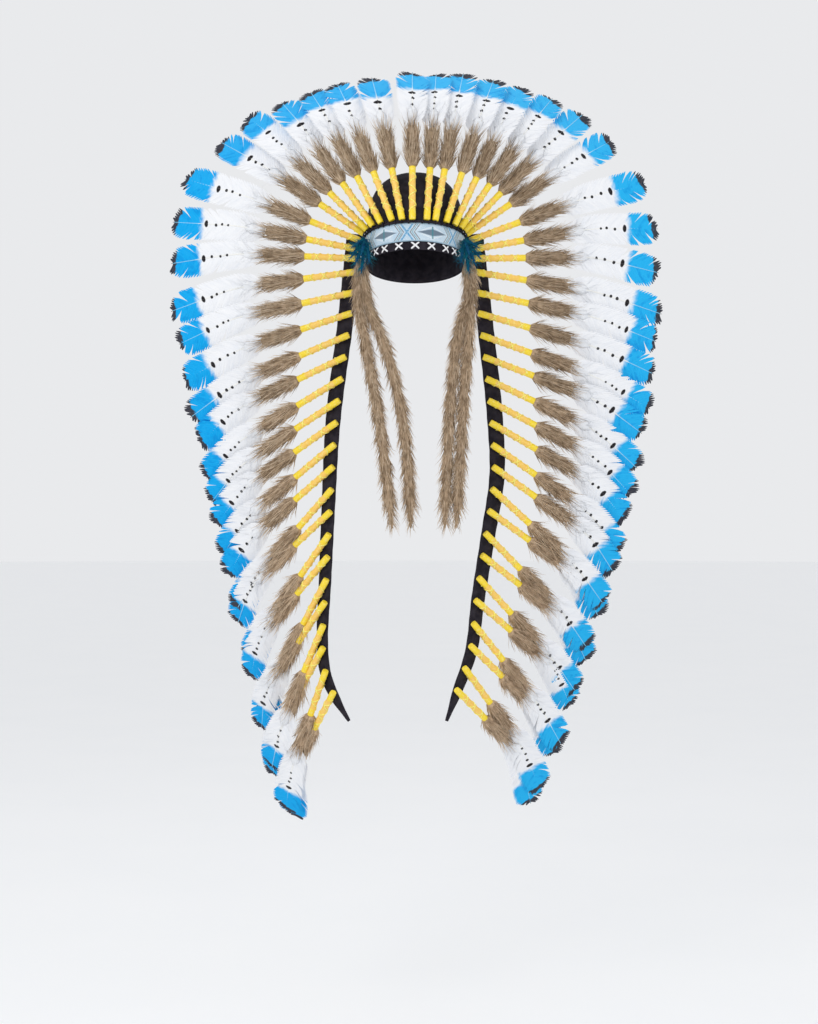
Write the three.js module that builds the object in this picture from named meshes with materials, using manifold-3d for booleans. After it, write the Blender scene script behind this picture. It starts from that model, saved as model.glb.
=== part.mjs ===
// A feathered headdress, in millimetres: +Z is up and the wearer faces -Y.
// Left and right are as seen from the front, so left is -X.
// The origin is the middle of the head opening, at the lower edge of the headband.

import * as THREE from 'three';
import { mergeVertices } from 'three/addons/utils/BufferGeometryUtils.js';
import Module from 'manifold-3d';

const wasm = await Module();
wasm.setup();

// Gap between pieces that are sewn or glued to each other
const seamGap = 0.3;

// Flat facets round the head, shared by everything that wraps it
const headFacets = 32;

// Felt cap: the inside of the head opening, and the dome above it; the rim is the cap's lower
// edge, and a higher roundness gives a fuller dome
const headHalfWidth = 75;
const headHalfDepth = 94;
const capWall = 2.5;
const capHeight = 146;
const capRim = 3;
const capRoundness = 2.9;
const crownTilt = 8.5;

// Headband: black felt, with a bound top edge and a woven band over its upper part
const bandWall = 2;
const bandHeight = 46;
const bareStrip = 13;
const bindingHeight = 3.2;
const bindingDepth = 6;
const wovenWall = 1.2;
const wovenFacets = 14;

// One feather: a wrapped quill, a tuft of fur and a vane beyond it
const quillRadius = 5.5;
const quillLength = 89;
const furLength = 72;
const furHalfWidth = 13.5;
const furHalfDepth = 6;
const lockLength = 12;
const vaneLength = 150;
const vaneHalfWidth = 26;
const vaneThickness = 2;
const vaneCamber = 2.5;
const bendLength = 70;

// Trailers: two felt strips that hang from the ends of the headband
const trailerLength = 777;
const trailerWidth = 26;
const trailerThickness = 3;
const trailerRise = 8;
const trailerForward = 3.4;
const quillInset = 3;

// Fur drops that hang in front of the ears, two to a side
const dropLength = 432;
const dropHalfWidth = 10;
const dropHalfDepth = 6.5;
const dropTop = 8;
const dropSeat = 4.5;
const dropTurn = 70;

// Down tufts at the ends of the headband
const tuftLength = 56;
const tuftLockWidth = 7;
const tuftTop = 38;
const tuftTurn = 66;

// Offsets outwards from the inside of the cap
const capOuter = capWall;
const bandInner = capOuter + seamGap;
const bandOuter = bandInner + bandWall;
const wovenInner = bandOuter + seamGap;
const wovenOuter = wovenInner + wovenWall;
const bindingOuter = bandInner + bindingDepth;
const quillOffset = capOuter + seamGap + quillRadius;

// Quills that stand on the headband, one row each, from the brow to the temple:
// turn is the place round the head, lean the slope from upright and back the slope to the rear,
// in degrees, and reach is the share of its full length that the vane has.
const crownQuills = {
  left: [
    { turn: 3, lean: 0, back: 1, reach: 0.72 },
    { turn: 14, lean: 11, back: 4, reach: 0.76 },
    { turn: 25.5, lean: 20, back: 4, reach: 0.74 },
    { turn: 40, lean: 26, back: 3, reach: 0.76 },
    { turn: 53, lean: 34, back: 2, reach: 0.78 },
    { turn: 66, lean: 44, back: 1, reach: 0.84 },
    { turn: 78, lean: 55, back: 0, reach: 0.9 },
  ],
  right: [
    { turn: 12.5, lean: 3.5, back: 4, reach: 0.76 },
    { turn: 22, lean: 10, back: 4, reach: 0.86 },
    { turn: 35.5, lean: 17, back: 4, reach: 0.82 },
    { turn: 48, lean: 24, back: 3, reach: 0.86 },
    { turn: 59, lean: 33, back: 2, reach: 0.88 },
    { turn: 69, lean: 43, back: 1, reach: 0.88 },
    { turn: 79, lean: 55, back: -1, reach: 0.93 },
  ],
};

// How the crown feathers change from the first to the last: curl is the vane's slope to the rear
// and twist its turn about the quill, in degrees.
const crownShape = [
  { feather: 1, curl: 36, twist: -9 },
  { feather: 4, curl: 34, twist: -9 },
  { feather: 7, curl: 20, twist: -6 },
];

// Trailer centre lines: drop and out are shares of the trailer's length, turn is how far
// the strip's outer edge is turned to the rear, in degrees, and width a share of its width.
const trailerLines = {
  left: [
    { drop: 0, out: 0, turn: 0, width: 1 },
    { drop: 0.18, out: 0.019, turn: 9, width: 1 },
    { drop: 0.385, out: 0.044, turn: 21, width: 1 },
    { drop: 0.55, out: 0.053, turn: 31, width: 1 },
    { drop: 0.72, out: 0.06, turn: 41, width: 1 },
    { drop: 0.84, out: 0.065, turn: 47, width: 1 },
    { drop: 0.905, out: 0.058, turn: 46, width: 0.95 },
    { drop: 0.95, out: 0.04, turn: 44, width: 0.8 },
    { drop: 1, out: 0.01, turn: 44, width: 0.2 },
  ],
  right: [
    { drop: 0, out: 0, turn: 0, width: 1 },
    { drop: 0.2, out: 0.022, turn: 3, width: 1 },
    { drop: 0.38, out: 0.04, turn: 11, width: 1 },
    { drop: 0.5, out: 0.044, turn: 18, width: 1 },
    { drop: 0.62, out: 0.026, turn: 26, width: 1 },
    { drop: 0.75, out: 0.005, turn: 34, width: 1 },
    { drop: 0.86, out: -0.01, turn: 39, width: 0.95 },
    { drop: 0.94, out: -0.038, turn: 42, width: 0.8 },
    { drop: 1, out: -0.06, turn: 42, width: 0.2 },
  ],
};

// Trailer feathers at chosen counts from the brow: at is the share of the trailer's length,
// lean the quill's and hang the vane's slope from upright in degrees, seen from the front.
const trailerShape = {
  left: [
    { feather: 8, at: 0.014, lean: 68, hang: 72, curl: 12, reach: 0.97, twist: 0 },
    { feather: 10, at: 0.051, lean: 88, hang: 97, curl: 10, reach: 1, twist: 8 },
    { feather: 11, at: 0.078, lean: 96, hang: 108, curl: 12, reach: 0.98, twist: 9 },
    { feather: 13, at: 0.163, lean: 107, hang: 118, curl: 18, reach: 0.94, twist: 18 },
    { feather: 16, at: 0.297, lean: 119, hang: 135, curl: 28, reach: 0.85, twist: 22 },
    { feather: 19, at: 0.432, lean: 127, hang: 145, curl: 37, reach: 0.8, twist: 22 },
    { feather: 22, at: 0.568, lean: 136, hang: 153, curl: 43, reach: 0.8, twist: 22 },
    { feather: 25, at: 0.704, lean: 147, hang: 165, curl: 45, reach: 0.82, twist: 22 },
    { feather: 28, at: 0.841, lean: 155, hang: 172, curl: 45, reach: 0.86, twist: 22 },
    { feather: 30, at: 0.934, lean: 156, hang: 176, curl: 43, reach: 0.95, twist: 22 },
  ],
  right: [
    { feather: 8, at: 0.014, lean: 69, hang: 74, curl: 12, reach: 0.95, twist: 0 },
    { feather: 10, at: 0.051, lean: 90, hang: 102, curl: 10, reach: 1, twist: 6 },
    { feather: 11, at: 0.078, lean: 98, hang: 107, curl: 11, reach: 1, twist: 9 },
    { feather: 13, at: 0.163, lean: 106, hang: 113, curl: 14, reach: 0.96, twist: 18 },
    { feather: 16, at: 0.297, lean: 114, hang: 130, curl: 21, reach: 0.87, twist: 22 },
    { feather: 19, at: 0.432, lean: 123, hang: 142, curl: 29, reach: 0.82, twist: 22 },
    { feather: 22, at: 0.568, lean: 129, hang: 148, curl: 36, reach: 0.82, twist: 22 },
    { feather: 25, at: 0.704, lean: 132, hang: 147, curl: 39, reach: 0.86, twist: 22 },
    { feather: 28, at: 0.841, lean: 138, hang: 157, curl: 39, reach: 0.9, twist: 22 },
    { feather: 30, at: 0.934, lean: 140, hang: 162, curl: 38, reach: 1, twist: 22 },
  ],
};
const firstTrailerFeather = 8;
const lastFeather = 30;

// From this feather down the furs of neighbours are matted together in pairs
const firstPaired = 21;
const pairLean = 4.5;

// Sections of a feather: along is a share of the part's length, the others of its half sizes
const furSections = [
  { along: 0.08, width: 0.75, depth: 1, lock: 0 },
  { along: 1, width: 1, depth: 0.8, lock: 1 },
];
const vaneSections = [
  { along: 0, width: 0.38, camber: 0 },
  { along: 0.12, width: 0.88, camber: 0.88 },
  { along: 0.68, width: 1, camber: 1 },
  { along: 1, width: 0.5, camber: 0.5 },
];

// Fur drops, from the top down: shares of the drop's length, measured from its fixing,
// inwards for the first and second strip and forwards for both.
const dropLines = {
  left: [
    { drop: 0, first: 0, second: 0.01, forward: 0 },
    { drop: 0.16, first: 0.0, second: 0.03, forward: 0.05 },
    { drop: 0.34, first: 0.03, second: 0.1, forward: 0.09 },
    { drop: 0.56, first: 0.07, second: 0.155, forward: 0.12 },
    { drop: 0.78, first: 0.1, second: 0.18, forward: 0.14 },
    { drop: 1, first: 0.125, second: 0.19, forward: 0.15 },
  ],
  right: [
    { drop: 0, first: 0.005, second: 0.015, forward: 0 },
    { drop: 0.12, first: 0, second: 0.01, forward: 0.04 },
    { drop: 0.26, first: 0.045, second: 0.01, forward: 0.09 },
    { drop: 0.5, first: 0.075, second: 0.03, forward: 0.12 },
    { drop: 0.75, first: 0.09, second: 0.045, forward: 0.14 },
    { drop: 1, first: 0.1, second: 0.06, forward: 0.15 },
  ],
};

// Locks of a down tuft: lean outwards and forwards in degrees, length a share of the tuft's
const tuftLocks = [
  { out: 8, front: 20, length: 1 },
  { out: 24, front: 30, length: 0.9 },
  { out: 42, front: 18, length: 0.75 },
  { out: -10, front: 34, length: 0.8 },
  { out: 16, front: 48, length: 0.7 },
  { out: 62, front: 30, length: 0.55 },
];

const feltBlack = { color: 0x17151c, roughness: 0.95, metalness: 0 };
const wovenBlue = { color: 0xa9cbd8, roughness: 0.6, metalness: 0 };
const featherWhite = { color: 0xf2f4f6, roughness: 0.8, metalness: 0 };
const furTaupe = { color: 0x95805f, roughness: 0.95, metalness: 0 };
const downTeal = { color: 0x0d6f80, roughness: 0.9, metalness: 0 };

const radians = THREE.MathUtils.degToRad;
const sideSigns = { left: -1, right: 1 };

// A value of a table between its two nearest rows
function valueAt(rows, key, place, column) {
  const next = rows.findIndex((row) => row[key] >= place);
  if (next === 0) return rows[0][column];
  if (next < 0) return rows[rows.length - 1][column];
  const before = rows[next - 1];
  const share = (place - before[key]) / (rows[next][key] - before[key]);
  return THREE.MathUtils.lerp(before[column], rows[next][column], share);
}

// A closed skin over rings, each a function from the unit disc to a point in space
function skin(rings, sides, startTurn = 0) {
  const spans = rings.length - 1;
  const geometry = new THREE.CylinderGeometry(1, 1, 1, sides, spans, false, startTurn);
  const place = geometry.attributes.position;
  for (let i = 0; i < place.count; i += 1) {
    const ring = rings[Math.round((0.5 - place.getY(i)) * spans)];
    const point = ring(place.getX(i), place.getZ(i));
    place.setXYZ(i, point.x, point.y, point.z);
  }
  return closed(geometry);
}

// The same geometry with its shared corners merged
function closed(geometry) {
  geometry.deleteAttribute('normal');
  geometry.deleteAttribute('uv');
  const merged = mergeVertices(geometry, 1e-3);
  merged.computeVertexNormals();
  return merged;
}

// Joins closed geometries into one body
function fused(geometries) {
  const solids = geometries.map((geometry) => {
    const vertProperties = Float32Array.from(geometry.attributes.position.array);
    const triVerts = Uint32Array.from(geometry.index.array);
    return new wasm.Manifold(new wasm.Mesh({ numProp: 3, vertProperties, triVerts }));
  });
  const mesh = solids.reduce((whole, solid) => whole.add(solid)).getMesh();
  const geometry = new THREE.BufferGeometry();
  geometry.setAttribute('position', new THREE.BufferAttribute(mesh.vertProperties, 3));
  geometry.setIndex(new THREE.BufferAttribute(mesh.triVerts, 1));
  return geometry;
}

function namedMesh(name, geometry, finish) {
  const mesh = new THREE.Mesh(geometry, new THREE.MeshStandardMaterial(finish));
  mesh.name = name;
  return mesh;
}

// A point round the head: turn in degrees from the brow, offset outwards from the cap's inside
function roundHead(turn, offset, height) {
  const x = (headHalfWidth + offset) * Math.sin(radians(turn));
  const y = -(headHalfDepth + offset) * Math.cos(radians(turn));
  return new THREE.Vector3(x, y, height);
}

// A ring round the head from a profile of offset, height and share of the oval
function headRing(profile) {
  const points = profile.map((row, i) => new THREE.Vector2(row.share > 0 ? 1 : 0, i));
  const geometry = new THREE.LatheGeometry(points, headFacets);
  const place = geometry.attributes.position;
  for (let i = 0; i < place.count; i += 1) {
    const row = profile[Math.round(place.getY(i))];
    const turn = THREE.MathUtils.radToDeg(Math.atan2(place.getX(i), place.getZ(i)));
    const point = roundHead(turn, row.offset, row.height);
    place.setXYZ(i, point.x * row.share, point.y * row.share, row.height);
  }
  return closed(geometry);
}

// The cap: straight sides as high as the headband and a full, rounded dome above
function crownCap() {
  const domeRows = 4;
  const wall = (offset, top) => {
    const rows = [{ offset, height: capRim, share: 1 }];
    for (let i = 0; i <= domeRows; i += 1) {
      const rise = (i / domeRows) * (Math.PI / 2);
      const share = i === domeRows ? 0 : Math.cos(rise) ** (2 / capRoundness);
      const height = bandHeight + (top - bandHeight) * Math.sin(rise) ** (2 / capRoundness);
      rows.push({ offset, height, share });
    }
    return rows;
  };
  const inner = wall(0, capHeight - capWall).reverse();
  return headRing([...inner, ...wall(capOuter, capHeight)]);
}

// The headband, with the thicker binding along its top edge
function headband() {
  const bindingFoot = bandHeight - bindingHeight;
  const profile = [
    { offset: bandInner, height: bandHeight, share: 1 },
    { offset: bandInner, height: 0, share: 1 },
    { offset: bandOuter, height: 0, share: 1 },
    { offset: bandOuter, height: bindingFoot, share: 1 },
    { offset: bindingOuter, height: bindingFoot, share: 1 },
    { offset: bindingOuter, height: bandHeight, share: 1 },
    { offset: bandInner, height: bandHeight, share: 1 },
  ];
  return headRing(profile);
}

// The woven band, a strip from temple to temple over the headband
function wovenBand() {
  const foot = bareStrip;
  const top = bandHeight - bindingHeight - seamGap;
  const rings = [];
  for (let i = 0; i <= wovenFacets; i += 1) {
    const turn = (i - wovenFacets / 2) * (360 / headFacets);
    rings.push((x, z) => {
      const offset = THREE.MathUtils.lerp(wovenInner, wovenOuter, 0.5 + x / Math.SQRT2);
      return roundHead(turn, offset, THREE.MathUtils.lerp(top, foot, 0.5 + z / Math.SQRT2));
    });
  }
  return skin(rings, 4, Math.PI / 4);
}

// A direction from its lean and its slope to the rear, mirrored for the left side
function direction(side, lean, back) {
  const flat = Math.cos(radians(back));
  const x = side * Math.sin(radians(lean)) * flat;
  return new THREE.Vector3(x, Math.sin(radians(back)), Math.cos(radians(lean)) * flat);
}

// The line that a feather follows: straight along its quill and fur, then bending to its vane
function featherLine(start, first, last) {
  const step = 4;
  const bendStart = quillLength + furLength;
  const directionAt = (distance) => {
    const share = THREE.MathUtils.smoothstep(distance, bendStart, bendStart + bendLength);
    return first.clone().lerp(last, share).normalize();
  };
  const pointAt = (distance) => {
    const point = start.clone().addScaledVector(first, Math.min(distance, bendStart));
    const count = Math.max(0, Math.ceil((distance - bendStart) / step));
    const length = (distance - bendStart) / Math.max(count, 1);
    for (let i = 0; i < count; i += 1) {
      point.addScaledVector(directionAt(bendStart + (i + 0.5) * length), length);
    }
    return point;
  };
  return { directionAt, pointAt };
}

// One feather as a single skin, from the end of its quill to the tip of its vane
function feather({ start, first, last, across, twist, reach }) {
  const line = featherLine(start, first, last);
  const spread = across.clone().applyAxisAngle(first, radians(twist));
  const ringAt = (distance, halfWidth, halfDepth, lock, camber) => (x, z) => {
    const along = line.directionAt(distance);
    const wide = spread.clone().addScaledVector(along, -spread.dot(along)).normalize();
    const through = along.clone().cross(wide);
    const diagonal = Math.abs(x) > 0.1 && Math.abs(z) > 0.1;
    const point = line.pointAt(distance);
    point.addScaledVector(wide, x * halfWidth);
    point.addScaledVector(through, z * halfDepth);
    point.y += camber * x * x;
    return point.addScaledVector(along, diagonal ? lock * 0.5 : -lock * 0.3);
  };
  const rings = [0, quillLength].map((distance) => ringAt(distance, quillRadius, quillRadius, 0, 0));
  for (const row of furSections) {
    const distance = quillLength + furLength * row.along;
    const width = furHalfWidth * row.width;
    rings.push(ringAt(distance, width, furHalfDepth * row.depth, row.lock * lockLength, 0));
  }
  for (const row of vaneSections) {
    const distance = quillLength + furLength + vaneLength * reach * row.along;
    const width = vaneHalfWidth * row.width;
    rings.push(ringAt(distance, width, vaneThickness / 2, 0, vaneCamber * row.camber));
  }
  return skin(rings, 8);
}

// A small unevenness from one feather to the next, between -1 and 1
const uneven = (count) => Math.sin(count * 2.4);

function twoDigits(count) {
  return String(count).padStart(2, '0');
}

// How high above the binding the middle of a quill's cut end lies, so that a leaning quill clears
// it: the lowest point of the round end counts only where the binding reaches out under it
function quillRise(turn, first) {
  const outward = new THREE.Vector3(Math.sin(radians(turn)), -Math.cos(radians(turn)), 0);
  const downhill = new THREE.Vector3(first.x, first.y, 0).normalize();
  const tilt = Math.acos(first.z);
  const facing = Math.max(0, outward.dot(downhill));
  const along = facing * first.z;
  const beside = Math.sqrt(1 - facing * facing);
  const size = Math.hypot(along, beside);
  const edge = Math.min(bindingOuter - quillOffset, quillRadius * along);
  const reach = (edge * along + beside * Math.sqrt((quillRadius * size) ** 2 - edge * edge)) / size ** 2;
  return reach * Math.sin(tilt) + seamGap;
}

// The feathers of one side of the crown, standing on the binding of the headband
function crownFeathers(sideName) {
  const side = sideSigns[sideName];
  return crownQuills[sideName].map((quill, i) => {
    const count = i + 1;
    const shape = (column) => valueAt(crownShape, 'feather', count, column);
    const first = direction(side, quill.lean, quill.back);
    const last = direction(side, quill.lean, shape('curl'));
    const start = roundHead(side * quill.turn, quillOffset, bandHeight);
    start.z += quillRise(side * quill.turn, first);
    const across = direction(side, quill.lean + 90, 0);
    const twist = side * shape('twist');
    const reach = quill.reach * (1 + 0.03 * uneven(count));
    const geometry = feather({ start, first, last, across, twist, reach });
    return namedMesh(`feather_${sideName}_${twoDigits(count)}`, geometry, featherWhite);
  });
}

// The centre line of a trailer, in its own plane
function trailerCurve(sideName) {
  const side = sideSigns[sideName];
  const points = trailerLines[sideName].map((row) => {
    return new THREE.Vector3(side * row.out * trailerLength, 0, -row.drop * trailerLength);
  });
  return new THREE.CatmullRomCurve3(points);
}

// The trailer's place, its run, its width direction and the way that its face looks
function trailerFrame(sideName, curve, share) {
  const side = sideSigns[sideName];
  const point = curve.getPointAt(share);
  const along = curve.getTangentAt(share);
  const drop = -point.z / trailerLength;
  const turn = valueAt(trailerLines[sideName], 'drop', drop, 'turn');
  const outward = new THREE.Vector3(-along.z, 0, along.x).multiplyScalar(side);
  const rear = new THREE.Vector3(0, 1, 0);
  const wide = outward.clone().multiplyScalar(Math.cos(radians(turn)));
  wide.addScaledVector(rear, Math.sin(radians(turn)));
  const face = along.clone().cross(wide).multiplyScalar(side);
  if (face.y > 0) face.negate();
  const width = valueAt(trailerLines[sideName], 'drop', drop, 'width') * trailerWidth;
  return { point, along, outward, wide, face, width };
}

function trailerStrip(sideName) {
  const curve = trailerCurve(sideName);
  const spans = 16;
  const rings = [];
  for (let i = 0; i <= spans; i += 1) {
    const frame = trailerFrame(sideName, curve, i / spans);
    const through = frame.along.clone().cross(frame.wide);
    rings.push((x, z) => {
      const point = frame.point.clone();
      point.addScaledVector(frame.wide, (x * frame.width) / Math.SQRT2);
      return point.addScaledVector(through, (z * trailerThickness) / Math.SQRT2);
    });
  }
  return skin(rings, 4, Math.PI / 4);
}

// One trailer feather: its quill lies across the face of the strip
function trailerFeather(sideName, curve, count) {
  const side = sideSigns[sideName];
  const shape = (column) => valueAt(trailerShape[sideName], 'feather', count, column);
  const frame = trailerFrame(sideName, curve, shape('at'));
  const paired = count >= firstPaired;
  const towards = (count - firstPaired) % 2 === 0 ? pairLean : -pairLean;
  const lean = shape('lean') + (paired ? towards : uneven(count));
  const hang = shape('hang') - (paired ? towards : 0);
  const seen = direction(side, lean, 0);
  const turned = frame.wide.dot(frame.outward);
  const first = frame.wide.clone().multiplyScalar(seen.dot(frame.outward) / turned);
  first.addScaledVector(frame.along, seen.dot(frame.along)).normalize();
  const last = direction(side, hang, shape('curl'));
  const start = frame.point.clone();
  start.addScaledVector(frame.wide, quillInset - trailerWidth / 2);
  start.addScaledVector(frame.face, trailerThickness / 2 + seamGap + quillRadius);
  const across = frame.face.clone().cross(first).multiplyScalar(side);
  const twist = side * shape('twist');
  const reach = shape('reach') * (1 + 0.03 * uneven(count));
  return feather({ start, first, last, across, twist, reach });
}

function trailerFeathers(sideName) {
  const curve = trailerCurve(sideName);
  const meshes = [];
  for (let count = firstTrailerFeather; count < firstPaired; count += 1) {
    const name = `feather_${sideName}_${twoDigits(count)}`;
    meshes.push(namedMesh(name, trailerFeather(sideName, curve, count), featherWhite));
  }
  for (let count = firstPaired; count < lastFeather; count += 2) {
    const name = `feathers_${sideName}_${twoDigits(count)}_${twoDigits(count + 1)}`;
    const pair = [count, count + 1].map((member) => trailerFeather(sideName, curve, member));
    meshes.push(namedMesh(name, fused(pair), featherWhite));
  }
  return meshes;
}

// A trailer and its feathers, hung at the side of the headband and sloping a little forwards
function trailer(sideName) {
  const group = new THREE.Group();
  const topRow = trailerLines[sideName][1];
  const outToBinding = (topRow.out / topRow.drop) * trailerRise;
  const out = headHalfWidth + bindingOuter + seamGap + trailerWidth / 2 - outToBinding;
  group.position.set(sideSigns[sideName] * out, 0, bandHeight);
  group.position.applyAxisAngle(new THREE.Vector3(1, 0, 0), radians(-crownTilt));
  group.position.z += trailerRise;
  group.rotation.x = radians(-trailerForward);
  group.add(namedMesh(`trailer_${sideName}`, trailerStrip(sideName), feltBlack));
  group.add(...trailerFeathers(sideName));
  return group;
}

// A strip of fur along a curve, with locks that stand out in turn on either side of it
function furStrip(curve) {
  const sides = 6;
  const spans = 9;
  const rings = [];
  for (let i = 0; i <= spans; i += 1) {
    const share = i / spans;
    const point = curve.getPointAt(share);
    const along = curve.getTangentAt(share);
    const wide = new THREE.Vector3(1, 0, 0).addScaledVector(along, -along.x).normalize();
    const through = along.clone().cross(wide);
    const taper = i === spans ? 0.35 : 1;
    rings.push((x, z) => {
      const lock = 1 + 0.12 * Math.cos(Math.PI * i) * Math.sign(x);
      const spot = point.clone();
      spot.addScaledVector(wide, x * dropHalfWidth * taper * lock);
      return spot.addScaledVector(through, z * dropHalfDepth * taper);
    });
  }
  return skin(rings, sides);
}

// The two fur drops of one side, matted together where they are sewn on
function furDrops(sideName) {
  const side = sideSigns[sideName];
  const top = roundHead(side * dropTurn, bandOuter + dropSeat + dropHalfWidth, dropTop);
  const strips = ['first', 'second'].map((column) => {
    const points = dropLines[sideName].map((row) => {
      const inwards = -side * row[column] * dropLength;
      return new THREE.Vector3(
        top.x + inwards,
        top.y - row.forward * dropLength,
        top.z - row.drop * dropLength,
      );
    });
    return furStrip(new THREE.CatmullRomCurve3(points));
  });
  return fused(strips);
}

// One lock of down: a curved, pointed tapering body
function downLock(root, aim, length) {
  const rings = [0, 0.35, 0.7, 1].map((share) => {
    const width = tuftLockWidth * [0.7, 1, 0.8, 0.12][Math.round(share * 3)];
    return (x, z) => {
      const point = root.clone().addScaledVector(aim, length * share);
      point.z -= 0.12 * length * share * share;
      const wide = new THREE.Vector3(1, 0, 0).addScaledVector(aim, -aim.x).normalize();
      const through = aim.clone().cross(wide);
      point.addScaledVector(wide, x * width);
      return point.addScaledVector(through, z * width * 0.6);
    };
  });
  return skin(rings, 4);
}

function downTuft(sideName) {
  const side = sideSigns[sideName];
  const root = roundHead(side * tuftTurn, wovenOuter + seamGap + tuftLockWidth / 2, tuftTop);
  const locks = tuftLocks.map((lock) => {
    const aim = direction(side, 180 - lock.out, -lock.front);
    return downLock(root, aim, tuftLength * lock.length);
  });
  return fused(locks);
}

// The crown: cap, headband and what is fixed to them, risen a little towards the brow
const crown = new THREE.Group();
crown.rotation.x = radians(-crownTilt);
crown.add(namedMesh('crown_cap', crownCap(), feltBlack));
crown.add(namedMesh('headband', headband(), feltBlack));
crown.add(namedMesh('woven_band', wovenBand(), wovenBlue));
for (const sideName of ['left', 'right']) {
  crown.add(...crownFeathers(sideName));
}

const headdress = new THREE.Group();
headdress.add(crown);
for (const sideName of ['left', 'right']) {
  headdress.add(trailer(sideName));
  headdress.add(namedMesh(`fur_drops_${sideName}`, furDrops(sideName), furTaupe));
  headdress.add(namedMesh(`down_tuft_${sideName}`, downTuft(sideName), downTeal));
}

export default headdress;
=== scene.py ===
import math

import bmesh
import bpy
import numpy as np
from mathutils import Matrix, Vector


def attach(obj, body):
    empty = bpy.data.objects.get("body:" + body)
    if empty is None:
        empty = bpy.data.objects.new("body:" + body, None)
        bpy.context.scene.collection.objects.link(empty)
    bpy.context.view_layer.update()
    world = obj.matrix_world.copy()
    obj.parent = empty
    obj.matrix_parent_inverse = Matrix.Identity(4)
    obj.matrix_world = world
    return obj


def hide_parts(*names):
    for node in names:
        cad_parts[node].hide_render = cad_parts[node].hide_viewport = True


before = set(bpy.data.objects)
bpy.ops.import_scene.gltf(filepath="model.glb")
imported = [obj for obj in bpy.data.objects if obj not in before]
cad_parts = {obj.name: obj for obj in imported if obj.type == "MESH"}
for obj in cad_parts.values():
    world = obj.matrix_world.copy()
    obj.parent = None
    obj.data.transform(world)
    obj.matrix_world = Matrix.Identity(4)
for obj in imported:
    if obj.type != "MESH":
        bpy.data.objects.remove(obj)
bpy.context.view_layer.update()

# Metres, +Z up, the wearer faces -Y; left and right are as seen from the front
sideSigns = {"left": -1, "right": 1}
rearAxis = Vector((0, 1, 0))
tiltAxis = Vector((1, 0, 0))


def table(columns, *rows):
    return [dict(zip(columns.split(), row)) for row in rows]


def lookUp(rows, key, place, column):
    # A column's value at a place, or at each of several, straight between the rows
    found = np.interp(place, [row[key] for row in rows], [row[column] for row in rows])
    return float(found) if np.isscalar(place) else found


# Sizes of the felt, the band and the feathers, the same as the solids have
head = {"halfWidth": 0.075, "halfDepth": 0.094, "tilt": 8.5, "seam": 0.0003, "facets": 96}
felt = {"capWall": 0.0025, "capHeight": 0.146, "capRim": 0.003, "roundness": 2.9, "domeRows": 14,
        "rimRound": 0.0008, "innerRound": 0.0004, "footRound": 0.0006, "outerRound": 0.0011,
        "bandWall": 0.002, "bandHeight": 0.046, "bareStrip": 0.013, "bindingHeight": 0.0032,
        "bindingDepth": 0.006}
woven = {"wall": 0.0012, "halfTurn": 78.75, "rings": 110, "rows": 8}
quill = {"radius": 0.0055, "length": 0.089, "inset": 0.003}
vane = {"length": 0.15, "halfWidth": 0.026, "camber": 0.0025, "bend": 0.07}
furLength = 0.072

crownTable = {
    "left": table("turn lean back reach", (3, 0, 1, 0.72), (14, 11, 4, 0.76), (25.5, 20, 4, 0.74),
                  (40, 26, 3, 0.76), (53, 34, 2, 0.78), (66, 44, 1, 0.84), (78, 55, 0, 0.9)),
    "right": table("turn lean back reach", (12.5, 3.5, 4, 0.76), (22, 10, 4, 0.86), (35.5, 17, 4, 0.82),
                   (48, 24, 3, 0.86), (59, 33, 2, 0.88), (69, 43, 1, 0.88), (79, 55, -1, 0.93)),
}
crownShape = table("count curl twist", (1, 36, -9), (4, 34, -9), (7, 20, -6))
trailer = {"length": 0.777, "width": 0.026, "thickness": 0.003, "rise": 0.008, "forward": 3.4,
           "rings": 90, "soft": 0.0008, "ragged": 0.0003, "inner": 0.4}
trailerLines = {
    "left": table("drop out turn width", (0, 0, 0, 1), (0.18, 0.019, 9, 1), (0.385, 0.044, 21, 1),
                  (0.55, 0.053, 31, 1), (0.72, 0.06, 41, 1), (0.84, 0.065, 47, 1),
                  (0.905, 0.058, 46, 0.95), (0.95, 0.04, 44, 0.8), (1, 0.01, 44, 0.2)),
    "right": table("drop out turn width", (0, 0, 0, 1), (0.2, 0.022, 3, 1), (0.38, 0.04, 11, 1),
                   (0.5, 0.044, 18, 1), (0.62, 0.026, 26, 1), (0.75, 0.005, 34, 1),
                   (0.86, -0.01, 39, 0.95), (0.94, -0.038, 42, 0.8), (1, -0.06, 42, 0.2)),
}
trailerShape = {
    "left": table("count at lean hang curl reach twist",
                  (8, 0.014, 68, 72, 12, 0.97, 0), (10, 0.051, 88, 97, 10, 1, 8),
                  (11, 0.078, 96, 108, 12, 0.98, 9), (13, 0.163, 107, 118, 18, 0.94, 18),
                  (16, 0.297, 119, 135, 28, 0.85, 22), (19, 0.432, 127, 145, 37, 0.8, 22),
                  (22, 0.568, 136, 153, 43, 0.8, 22), (25, 0.704, 147, 165, 45, 0.82, 22),
                  (28, 0.841, 155, 172, 45, 0.86, 22), (30, 0.934, 156, 176, 43, 0.95, 22)),
    "right": table("count at lean hang curl reach twist",
                   (8, 0.014, 69, 74, 12, 0.95, 0), (10, 0.051, 90, 102, 10, 1, 6),
                   (11, 0.078, 98, 107, 11, 1, 9), (13, 0.163, 106, 113, 14, 0.96, 18),
                   (16, 0.297, 114, 130, 21, 0.87, 22), (19, 0.432, 123, 142, 29, 0.82, 22),
                   (22, 0.568, 129, 148, 36, 0.82, 22), (25, 0.704, 132, 147, 39, 0.86, 22),
                   (28, 0.841, 138, 157, 39, 0.9, 22), (30, 0.934, 140, 162, 38, 1, 22)),
}
firstOnTrailer = 8
firstPaired = 21
lastFeather = 30
pairLean = 4.5

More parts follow.
